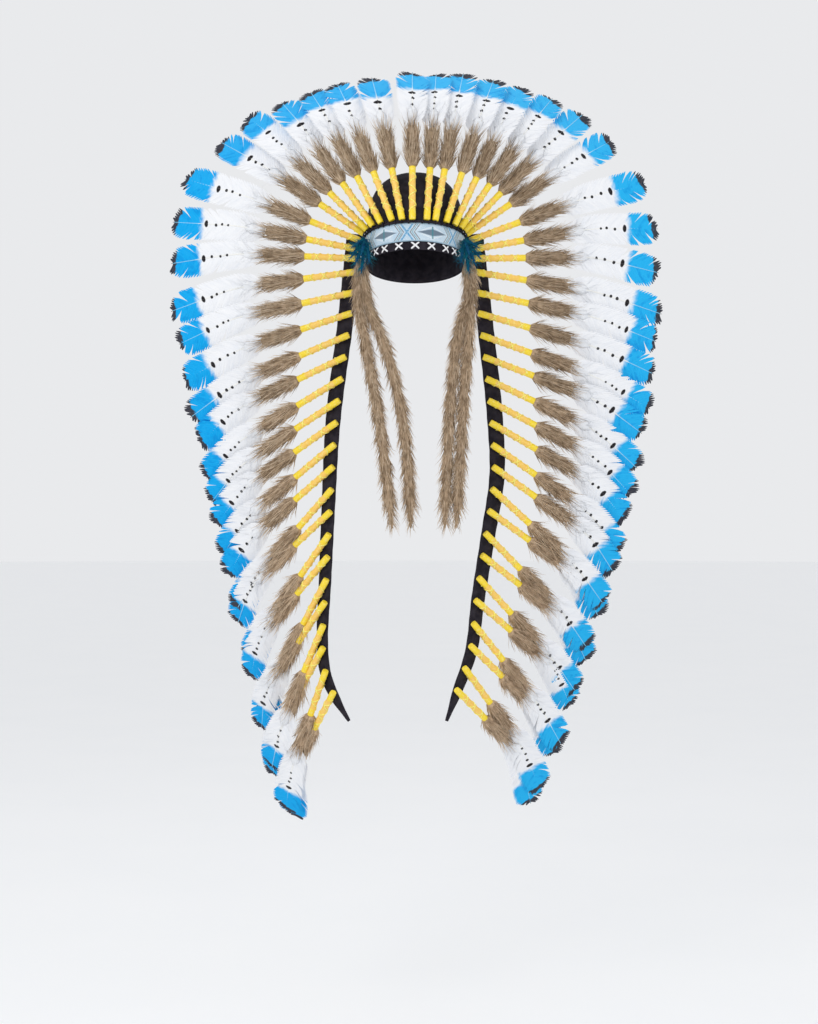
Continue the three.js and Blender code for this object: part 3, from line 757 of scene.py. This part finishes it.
for sideName in sideSigns:
    heap = Heap()
    for feather in feathers[sideName]:
        growVane(heap, feather)
    settle(heap.piece(f"vanes_{sideName}", [featherVane, featherShaft], smooth=False), "feather",
           *featherNodes(sideName))
print("vanes grown")


# Geometry Nodes trees, each built once and run on a plain mesh of guides

def newTree(name, sizes, counts):
    # A tree with its named inputs: a mesh, sizes, counts and a material
    tree = bpy.data.node_groups.new(name, "GeometryNodeTree")
    tree.is_modifier = True
    inputs = [("Geometry", "Geometry"), *((label, "Float") for label in sizes),
              *((label, "Int") for label in counts), ("Material", "Material")]
    for label, kind in inputs:
        tree.interface.new_socket(label, in_out="INPUT", socket_type=f"NodeSocket{kind}")
    tree.interface.new_socket("Geometry", in_out="OUTPUT", socket_type="NodeSocketGeometry")
    graph = Graph(tree)
    source = tree.nodes.new("NodeGroupInput")
    ports = {socket.name: Wire(graph, socket) for socket in source.outputs if socket.name}
    return graph, ports


def closeTree(graph, wire, material):
    wire = graph.add("GeometryNodeRealizeInstances", None, {"Geometry": wire})
    wire = graph.add("GeometryNodeSetMaterial", None, {"Geometry": wire, "Material": material})
    graph.add("NodeGroupOutput", None, {"Geometry": wire})
    return graph.tree


def runTree(tree, guide, name, values, material):
    # The guide's mesh is swapped for what the tree makes of it
    guide.name = name
    modifier = guide.modifiers.new("grow", "NODES")
    modifier.node_group = tree
    sockets = {item.name: item.identifier for item in tree.interface.items_tree
               if item.item_type == "SOCKET" and item.in_out == "INPUT"}
    for label, value in {**values, "Material": material}.items():
        modifier[sockets[label]] = value
    ready = bpy.context.evaluated_depsgraph_get()
    grown = bpy.data.meshes.new_from_object(guide.evaluated_get(ready), depsgraph=ready)
    guide.modifiers.clear()
    guide.data = grown
    grown.name = name
    return guide


strandLook = {"shortest": 0.6, "longest": 1.25, "clumping": 4.0, "waving": 4.0, "waveScale": 90.0,
              "thinning": 1.5, "thinned": 0.88}


def hairTree():
    # Tapered locks over a core: they follow its flow mark, lean together in clumps and wave a little
    graph, port = newTree("hairGrowth", ("Density", "Length", "Radius", "Lift", "Clump", "Clump Scale",
                                         "Wave", "Bend"), ("Joints", "Seed"))
    seed = port["Seed"]
    spread = graph.add("GeometryNodeDistributePointsOnFaces", None,
                       {"Mesh": port["Geometry"], "Density": port["Density"], "Seed": seed})
    normal = Wire(graph, spread.socket.node.outputs["Normal"])
    place = graph.add("GeometryNodeInputPosition")
    clumping = graph.wander(place, port["Clump Scale"]) * (port["Clump"] * strandLook["clumping"])
    turn = graph.towards(graph.named("flow") + normal * port["Lift"] + clumping)
    spin = graph.add("FunctionNodeAxisAngleToRotation", None,
                     {"Axis": (0, 0, 1), "Angle": graph.random(0.0, 6.283, seed + 1)})
    turn = graph.add("FunctionNodeRotateRotation", {"rotation_space": "LOCAL"},
                     {"Rotation": turn, "Rotate By": spin})
    strand = graph.add("GeometryNodeCurvePrimitiveLine", None, {"Start": (0, 0, 0), "End": (0, 0, 1)})
    strand = graph.add("GeometryNodeResampleCurve", None, {"Curve": strand, "Count": port["Joints"]})
    share = graph.share()
    strand = graph.add("GeometryNodeSetPosition", None,
                       {"Geometry": strand, "Offset": graph.vector(share ** 2 * port["Bend"], 0.0, 0.0)})
    size = port["Length"] * graph.random(strandLook["shortest"], strandLook["longest"], seed + 2)
    strands = graph.add("GeometryNodeInstanceOnPoints", None,
                        {"Points": spread, "Instance": strand, "Rotation": turn,
                         "Scale": graph.vector(size, size, size)})
    tint, _, tone = graph.parts(graph.named("hair"))
    shade = graph.vector(graph.random(0.0, 1.0, seed + 3), 0.0, tone)
    strands = graph.store(strands, "hair", shade, "INSTANCE")
    hairs = graph.add("GeometryNodeRealizeInstances", None, {"Geometry": strands})
    hairs = graph.store(hairs, "hair", graph.vector(tint, share, tone))
    sway = graph.wander(place, strandLook["waveScale"]) * (share * port["Wave"] * strandLook["waving"])
    hairs = graph.add("GeometryNodeSetPosition", None, {"Geometry": hairs, "Offset": sway})
    size = port["Radius"] * (1 - share ** strandLook["thinning"] * strandLook["thinned"])
    hairs = graph.smooth(graph.tube(hairs, 3, size))
    whole = graph.add("GeometryNodeJoinGeometry", None, {"Geometry": [hairs, port["Geometry"]]})
    return closeTree(graph, whole, port["Material"])


growHair = hairTree()


def coat(heap, name, hair, material, slot, *nodes):
    # The core put together in the heap, with hair grown on it
    guide = runTree(growHair, heap.piece("guide", []), name, hair, material)
    return settle(guide, slot, *nodes)


def coatFeathers(name, look, profile, start, material, slot, toneOf):
    # A core on every feather from the start distance on, its rings as the profile says
    angles = anglesOf(look["sides"])
    distances = start + np.array([row["at"] for row in profile])
    for sideName in sideSigns:
        heap = Heap()
        for feather in feathers[sideName]:
            rings, flows = [], []
            for row, point, onward, wide, through in zip(profile, *along(feather, distances)):
                ring = oval(point, wide * row["width"], through * row["depth"], angles)
                rings.append(ring)
                flows += [onward * look["onward"] + (end - point) / row["width"] * row["fan"] for end in ring]
            heap.loft(rings, {"flow": flows, "hair": [(*look["core"], toneOf(feather))] * len(flows)})
        coat(heap, f"{name}_{sideName}", look["hair"], material, slot)


def addLock(heap, look, stations):
    # One core of a lock through its stations: middle, direction, half width and half depth
    rings, flows = [], []
    for middle, onward, width, depth in stations:
        wide = (tiltAxis - onward * onward.x).normalized()
        rings.append(oval(middle, wide * width, onward.cross(wide) * depth, anglesOf(look["sides"])))
        flows += [onward + (Vector(point) - middle).normalized() * look["fan"] for point in rings[-1]]
    heap.loft(rings, {"flow": flows, "hair": [look["core"]] * len(flows)})


# Fur tufts, one round the end of each wrapped quill

tuft = {"sides": 10, "onward": 1, "core": (0.25, 0.3), "toneFrom": 12, "toneTo": 26,
        "hair": {"Density": 78000.0, "Length": 0.025, "Radius": 0.00055, "Lift": 0.15, "Clump": 0.24,
                 "Clump Scale": 120.0, "Wave": 0.0022, "Bend": 0.12, "Joints": 4, "Seed": 11}}
tuftProfile = table("at width depth fan", (-0.003, 0.006, 0.006, 0.5), (0.0005, 0.0086, 0.0078, 0.36),
                    (0.006, 0.0096, 0.0076, 0.18), (0.024, 0.0094, 0.0066, 0.08),
                    (0.044, 0.0096, 0.0056, 0.08), (0.056, 0.0092, 0.0042, 0.1), (0.064, 0.005, 0.002, 0.1))


def tuftTone(feather):
    rank = feather["count"] + 3 * uneven(feather["count"])
    return np.interp(rank, [tuft["toneFrom"], tuft["toneTo"]], [0.05, 0.8])


coatFeathers("furs", tuft, tuftProfile, quill["length"], taupeFur, "fur", tuftTone)
print("furs grown")


# White fluff where each vane leaves its fur

fluff = {"sides": 6, "onward": 0.8, "core": (0.6, 0.3),
         "hair": {"Density": 30000.0, "Length": 0.026, "Radius": 0.00038, "Lift": 0.05, "Clump": 0.35,
                  "Clump Scale": 300.0, "Wave": 0.003, "Bend": 0.3, "Joints": 4, "Seed": 23}}
fluffProfile = table("at width depth fan", (-0.006, 0.004, 0.002, 0.8), (0.004, 0.007, 0.0026, 0.8),
                     (0.016, 0.009, 0.002, 0.8), (0.026, 0.003, 0.001, 0.8))

coatFeathers("fluff", fluff, fluffProfile, quill["length"] + furLength, whiteFluff, "feather",
             lambda feather: 0)
print("fluff grown")


# Quills: a sleeve of wound floss with two windings of tinsel that cross on it

sleeve = {"low": 0, "high": quill["length"] + 0.002, "body": 0.9, "collar": 0.17, "swell": 0.06,
          "mouth": 0.012, "narrow": 0.1, "soft": 0.02, "ripple": 0.04,
          "tree": {"Radius": quill["radius"], "Sides": 14, "Steps": 22}}
tinsel = {"low": quill["length"] * 0.16, "high": quill["length"] * 0.84,
          "tree": {"Radius": quill["radius"] * 0.93, "Turns": 2.7, "Steps": 56, "Width": 0.0012}}
lineSamples = 12


def quillLines(sideName, low, high):
    # The quills' middle lines from low to high, with each feather's own whim on its points
    mesh = bpy.data.meshes.new("guide")
    points, edges, whims = [], [], []
    for feather in feathers[sideName]:
        edges += [(len(points) + i, len(points) + i + 1) for i in range(lineSamples - 1)]
        points += [tuple(point) for point in along(feather, np.linspace(low, high, lineSamples))[0]]
        whims += [feather["whim"]] * lineSamples
    mesh.from_pydata(points, edges, [])
    mesh.attributes.new("whim", "FLOAT", "POINT").data.foreach_set("value", whims)
    return newObject("guide", mesh)


def sleeveTree():
    graph, port = newTree("flossSleeve", ("Radius",), ("Sides", "Steps"))
    share, whim = graph.share(), graph.named("whim", "FLOAT")
    curves = graph.curves(port["Geometry"], port["Steps"])
    curves = graph.store(curves, "wind", graph.vector(share, 0.0, whim))
    fromEnd = 0.5 - abs(share - 0.5)
    collar = fromEnd.below(sleeve["collar"], sleeve["soft"]) * sleeve["swell"]
    mouth = fromEnd.below(sleeve["mouth"], sleeve["soft"]) * sleeve["narrow"]
    ripple = graph.noise(graph.vector(share * 40, whim * 30, 0.0), 1.0)
    size = port["Radius"] * (sleeve["body"] + (collar - mouth) + ripple * sleeve["ripple"])
    return closeTree(graph, graph.tube(curves, port["Sides"], size), port["Material"])


def tinselTree():
    graph, port = newTree("tinselWinding", ("Radius", "Turns", "Width"), ("Steps",))
    normal, tangent = graph.add("GeometryNodeInputNormal"), graph.add("GeometryNodeInputTangent")
    beside = tangent.work("CROSS_PRODUCT", normal)
    windings = []
    for hand in (-1, 1):
        angle = (graph.share() * port["Turns"] + graph.named("whim", "FLOAT")) * (fullTurn * hand)
        out = (normal * angle.work("COSINE") + beside * angle.work("SINE")) * port["Radius"]
        curves = graph.curves(port["Geometry"], port["Steps"])
        windings.append(graph.add("GeometryNodeSetPosition", None, {"Geometry": curves, "Offset": out}))
    both = graph.add("GeometryNodeJoinGeometry", None, {"Geometry": windings})
    return closeTree(graph, graph.tube(both, 5, port["Width"]), port["Material"])


windings = (("quills", sleeve, sleeveTree(), yellowWrap), ("tinsel", tinsel, tinselTree(), goldTinsel))
for sideName in sideSigns:
    for feather in feathers[sideName]:
        feather["whim"] = feather["random"].random()
    for name, look, tree, material in windings:
        guide = quillLines(sideName, look["low"], look["high"])
        settle(runTree(tree, guide, f"{name}_{sideName}", look["tree"], material), "feather")
print("quills wrapped")


# The felt cap and headband

def headRings(profile):
    # One closed section per facet, so the loft runs round the head
    rings = []
    for facet in range(head["facets"]):
        turn = 360 * facet / head["facets"]
        points = [(roundHead(turn, offset, height), share) for offset, height, share in profile]
        rings.append([crownMatrix @ Vector((point.x * share, point.y * share, point.z))
                      for point, share in points])
    return rings


def domeProfile(offset, top):
    rows = [(offset, felt["capRim"], 1.0), (offset, felt["bandHeight"] * 0.5, 1.0)]
    for i in range(felt["domeRows"] + 1):
        rise = i / felt["domeRows"] * math.pi / 2
        share = max(math.cos(rise), 0.0) ** (2 / felt["roundness"])
        height = felt["bandHeight"] + (top - felt["bandHeight"]) * math.sin(rise) ** (2 / felt["roundness"])
        rows.append((offset, height, share if i < felt["domeRows"] else 0.0))
    return rows


outside = domeProfile(felt["capWall"], felt["capHeight"])
inside = domeProfile(0, felt["capHeight"] - felt["capWall"])
rim = [(felt["capWall"] / 2, felt["capRim"] - felt["rimRound"], 1.0)]
heap = Heap()
heap.loft(headRings(inside[::-1] + rim + outside), closed=True)
settle(heap.piece("felt_cap", [feltBlack], welded=True), "felt", "crown_cap")

foot = felt["bandHeight"] - felt["bindingHeight"]
roundOff, innerRound, footRound = felt["outerRound"], felt["innerRound"], felt["footRound"]
bandProfile = [(bandInner, felt["bandHeight"] - innerRound, 1), (bandInner, innerRound, 1),
               (bandInner + footRound, 0, 1), (bandOuter - footRound, 0, 1), (bandOuter, footRound, 1),
               (bandOuter, felt["bareStrip"], 1), (bandOuter, foot, 1), (bindingOuter - roundOff, foot, 1),
               (bindingOuter, foot + roundOff, 1), (bindingOuter, felt["bandHeight"] - roundOff, 1),
               (bindingOuter - roundOff, felt["bandHeight"], 1)]
heap = Heap()
heap.loft(headRings(bandProfile), closed=True)
settle(heap.piece("felt_headband", [feltBlack]), "felt", "headband")


# The binding's thread: loops over the top edge, one on either side of each quill

def loopTree():
    graph, port = newTree("bindingLoops", ("Loop Radius", "Thread"), ("Seed",))
    loop = graph.add("GeometryNodeCurveToMesh", None, {"Curve": graph.circle(14, port["Loop Radius"]),
                                                       "Profile Curve": graph.circle(6, port["Thread"])})
    size = graph.random(0.85, 1.15, port["Seed"])
    loops = graph.add("GeometryNodeInstanceOnPoints", None,
                      {"Points": port["Geometry"], "Instance": graph.smooth(loop),
                       "Rotation": graph.towards(graph.named("flow")),
                       "Scale": graph.vector(size, size, size)})
    return closeTree(graph, loops, port["Material"])


def guidePoints(name, points, flows):
    mesh = bpy.data.meshes.new(name)
    mesh.from_pydata([tuple(point) for point in points], [], [])
    addVectors(mesh, "flow", flows)
    return newObject(name, mesh)


binding = {"step": 7.4, "reach": 96, "loopRadius": 0.0028, "thread": 0.0011, "inset": 0.0014,
           "below": 0.0012}
turns = np.arange(-binding["reach"], binding["reach"] + 0.1, binding["step"])
loopOffset, loopHeight = bindingOuter - binding["inset"], felt["bandHeight"] - binding["below"]
places = [crownMatrix @ roundHead(turn, loopOffset, loopHeight) for turn in turns]
runs = [crownMatrix.to_3x3() @ (roundHead(turn + 1, bindingOuter, 0) - roundHead(turn - 1, bindingOuter, 0))
        for turn in turns]
loops = runTree(loopTree(), guidePoints("guide_loops", places, runs), "binding_loops",
                {"Loop Radius": binding["loopRadius"], "Thread": binding["thread"], "Seed": 5}, feltBlack)
settle(loops, "felt")


# White crossed stitches along the bare strip under the woven band

stitch = {"turns": (0, 18.5, 36.5, 50, 61), "halfWidth": 0.0062, "halfHeight": 0.0052, "ribbon": 0.0014,
          "thick": 0.0005, "bulge": 0.0009, "steps": 9, "sides": 6, "clear": 0.0001, "over": 1.7,
          "ends": 0.75}


def crossStitches():
    heap = Heap()
    middle = felt["bareStrip"] / 2
    for turn in sorted({sign * turn for turn in stitch["turns"] for sign in (-1, 1)}):
        centre = roundHead(turn, bandOuter, middle)
        run = (roundHead(turn + 1, bandOuter, middle) - roundHead(turn - 1, bandOuter, middle)).normalized()
        outward = run.cross(Vector((0, 0, 1)))
        for hand in (-1, 1):
            rings = []
            for i in range(stitch["steps"]):
                t = 2 * i / (stitch["steps"] - 1) - 1
                lift = stitch["bulge"] * (1 - t ** 4) * (1 if hand > 0 else stitch["over"]) + stitch["clear"]
                sag = (run * t * stitch["halfWidth"]).length ** 2 / (2 * head["halfWidth"])
                point = centre + run * (t * stitch["halfWidth"]) + outward * (lift - sag)
                point.z += hand * t * stitch["halfHeight"]
                ahead = (run * stitch["halfWidth"] + Vector((0, 0, hand * stitch["halfHeight"]))).normalized()
                beside = outward.cross(ahead)
                narrow = stitch["ends"] if abs(t) == 1 else 1
                rings.append([crownMatrix @ (point + beside * (math.cos(angle) * stitch["ribbon"] * narrow)
                                             + outward * (math.sin(angle) * stitch["thick"]))
                              for angle in np.arange(stitch["sides"]) * (2 * math.pi / stitch["sides"])])
            heap.loft(rings)
    return heap.piece("cross_stitches", [whiteRibbon])


settle(crossStitches(), "woven")


# The woven band, with its run in metres and its height as a share marked on it

def wovenStrip():
    heap = Heap()
    low, high = felt["bareStrip"], felt["bandHeight"] - felt["bindingHeight"] - head["seam"]
    outer = [(wovenOuter, low + (high - low) * i / woven["rows"]) for i in range(woven["rows"] + 1)]
    section = outer + [(wovenInner, high), (wovenInner, low)]
    rings, places = [], []
    turns = np.linspace(-woven["halfTurn"], woven["halfTurn"], woven["rings"])
    arc = [roundHead(turn, wovenOuter, 0) for turn in turns]
    lengths = np.concatenate([[0], np.cumsum([(b - a).length for a, b in zip(arc, arc[1:])])])
    for turn, length in zip(turns, lengths - lengths[-1] / 2):
        rings.append([crownMatrix @ roundHead(turn, offset, height) for offset, height in section])
        places += [(length, (height - low) / (high - low), 0) for _, height in section]
    heap.loft(rings, {"place": places})
    return heap.piece("woven_band_cloth", [blueBrocade]), (float(lengths[-1]), high - low)


wovenBand, wovenFlat = wovenStrip()
settle(wovenBand, "woven", "woven_band")
print("cap and bands made")


# The trailers: felt strips with a soft edge, pointed at the end

for sideName in sideSigns:
    route, matrix = trailerRoute(sideName), trailerMatrix(sideName)
    heap, rings = Heap(), []
    halfThick, soft = trailer["thickness"] / 2, trailer["soft"]
    for i in range(trailer["rings"] + 1):
        spotOn = trailerFrame(sideName, route, i / trailer["rings"])
        half = spotOn["width"] / 2
        edge, inner = half + trailer["ragged"] * math.sin(i * 1.7), half * trailer["inner"]
        above = [(-edge + soft, halfThick), (-inner, halfThick), (inner, halfThick), (edge - soft, halfThick)]
        section = [(-edge, 0), *above, (edge, 0), *((x, -y) for x, y in reversed(above))]
        rings.append([matrix @ (spotOn["point"] + spotOn["wide"] * x + spotOn["face"] * y)
                      for x, y in section])
    heap.loft(rings)
    strip = settle(heap.piece(f"trailer_felt_{sideName}", [feltBlack]), "felt", f"trailer_{sideName}")
print("trailers hung")


# Fur drops in front of the ears, two to a side

drop = {"length": 0.432, "halfWidth": 0.010, "halfDepth": 0.0065, "top": 0.008, "seat": 0.0045, "turn": 70,
        "rings": 46, "sides": 10, "reach": 0.985, "core": (0.25, 0.3, 0.35), "fan": 0.3,
        "fat": 0.72, "first": 0.35, "growth": 14, "last": 0.15, "decline": 9, "uneven": 0.1,
        "hair": {"Density": 92000.0, "Length": 0.019, "Radius": 0.00054, "Lift": 0.1, "Clump": 0.22,
                 "Clump Scale": 170.0, "Wave": 0.0022, "Bend": 0.12, "Joints": 4, "Seed": 31}}
dropLines = {
    "left": table("drop first second forward", (0, 0, 0.01, 0), (0.16, 0, 0.03, 0.05),
                  (0.34, 0.03, 0.1, 0.09), (0.56, 0.07, 0.155, 0.12), (0.78, 0.1, 0.18, 0.14),
                  (1, 0.125, 0.19, 0.15)),
    "right": table("drop first second forward", (0, 0.005, 0.015, 0), (0.12, 0, 0.01, 0.04),
                   (0.26, 0.045, 0.01, 0.09), (0.5, 0.075, 0.03, 0.12), (0.75, 0.09, 0.045, 0.14),
                   (1, 0.1, 0.06, 0.15)),
}


def dropStations(route):
    # The core is thin at both ends and a little uneven between them
    for i in range(drop["rings"]):
        share = i / (drop["rings"] - 1)
        full = min(1, drop["first"] + share * drop["growth"], drop["last"] + (1 - share) * drop["decline"])
        fat = drop["fat"] * full * (1 + drop["uneven"] * math.sin(i * 1.3))
        yield (route.at(share * drop["reach"]), route.along(share),
               drop["halfWidth"] * fat, drop["halfDepth"] * fat)


for sideName, side in sideSigns.items():
    heap = Heap()
    top = roundHead(side * drop["turn"], bandOuter + drop["seat"] + drop["halfWidth"], drop["top"])
    for column in ("first", "second"):
        ways = [Vector((-side * row[column], -row["forward"], -row["drop"])) for row in dropLines[sideName]]
        addLock(heap, drop, dropStations(Route([top + way * drop["length"] for way in ways])))
    coat(heap, f"fur_drop_hair_{sideName}", drop["hair"], taupeFur, "fur", f"fur_drops_{sideName}")
print("drops grown")


# Teal down at the ends of the woven band

down = {"length": 0.056, "width": 0.007, "flatness": 0.6, "sag": 0.12, "top": 0.038, "turn": 66, "sides": 8,
        "core": (0.2, 0.2, 0), "fan": 0.6,
        "hair": {"Density": 190000.0, "Length": 0.013, "Radius": 0.0003, "Lift": 0.25, "Clump": 0.35,
                 "Clump Scale": 260.0, "Wave": 0.003, "Bend": 0.35, "Joints": 4, "Seed": 41}}
downLocks = table("out front length", (8, 20, 1), (24, 30, 0.9), (42, 18, 0.75), (-10, 34, 0.8),
                  (16, 48, 0.7), (62, 30, 0.55))
downProfile = table("along width", (0, 0.3), (0.35, 0.48), (0.7, 0.36), (0.97, 0.06))

for sideName, side in sideSigns.items():
    heap = Heap()
    root = roundHead(side * down["turn"], wovenOuter + head["seam"] + down["width"] / 2, down["top"])
    for lock in downLocks:
        aim, length = direction(side, 180 - lock["out"], -lock["front"]), down["length"] * lock["length"]
        stations = []
        for row in downProfile:
            sag = Vector((0, 0, down["sag"] * length * row["along"] ** 2))
            width = down["width"] * row["width"]
            stations.append((root + aim * length * row["along"] - sag, aim, width, width * down["flatness"]))
        addLock(heap, down, stations)
    coat(heap, f"down_hair_{sideName}", down["hair"], tealDown, "down", f"down_tuft_{sideName}")
print("down grown")


# Floor, light and camera

stage = {"floor": -1.25, "radius": 30.0, "sides": 64, "thick": 0.02}


def paleStage():
    heap, radius = Heap(), stage["radius"]
    heap.loft([oval((0, 0, height), (radius, 0, 0), (0, radius, 0), anglesOf(stage["sides"]))
               for height in (stage["floor"] - stage["thick"], stage["floor"])])
    return heap.piece("pale_stage", [paleFloor], smooth=False)


paleStage()


def areaLight(name, place, aim, size, power, colour):
    lamp = bpy.data.lights.new(name, "AREA")
    lamp.shape, lamp.size, lamp.energy, lamp.color = "SQUARE", size, power, colour
    light = bpy.data.objects.new(name, lamp)
    light.location = place
    light.rotation_euler = (Vector(aim) - Vector(place)).to_track_quat("-Z", "Y").to_euler()
    bpy.context.scene.collection.objects.link(light)


areaLight("key", (-1.5, -2.6, 1.7), (0, 0, -0.25), 1.3, 25, (1, 0.985, 0.96))
areaLight("fill", (2.2, -2.4, 0.2), (0, 0, -0.3), 2.0, 6, (0.95, 0.975, 1))
areaLight("back", (0.2, 1.1, 2.2), (0, 0.2, 0), 1.2, 8, (1, 1, 1))
world = bpy.data.worlds.new("paleWorld")
world.use_nodes = True
world.node_tree.nodes["Background"].inputs["Color"].default_value = (0.97, 0.98, 1, 1)
world.node_tree.nodes["Background"].inputs["Strength"].default_value = 0.84
bpy.context.scene.world = world
bpy.context.scene.view_settings.view_transform = "Standard"

camera = {"x": -0.0096, "distance": 3.0, "height": -0.392, "pixels": 1875, "tall": 1024, "sensor": 36}
lens = bpy.data.cameras.new("photoCamera")
lens.sensor_width = camera["sensor"]
lens.lens = camera["pixels"] * camera["sensor"] / camera["tall"]
eye = bpy.data.objects.new("photoCamera", lens)
eye.location = (camera["x"], -camera["distance"], camera["height"])
eye.rotation_euler = (math.pi / 2, 0, 0)
bpy.context.scene.collection.objects.link(eye)
bpy.context.scene.camera = eye
print("stage, light and camera set")
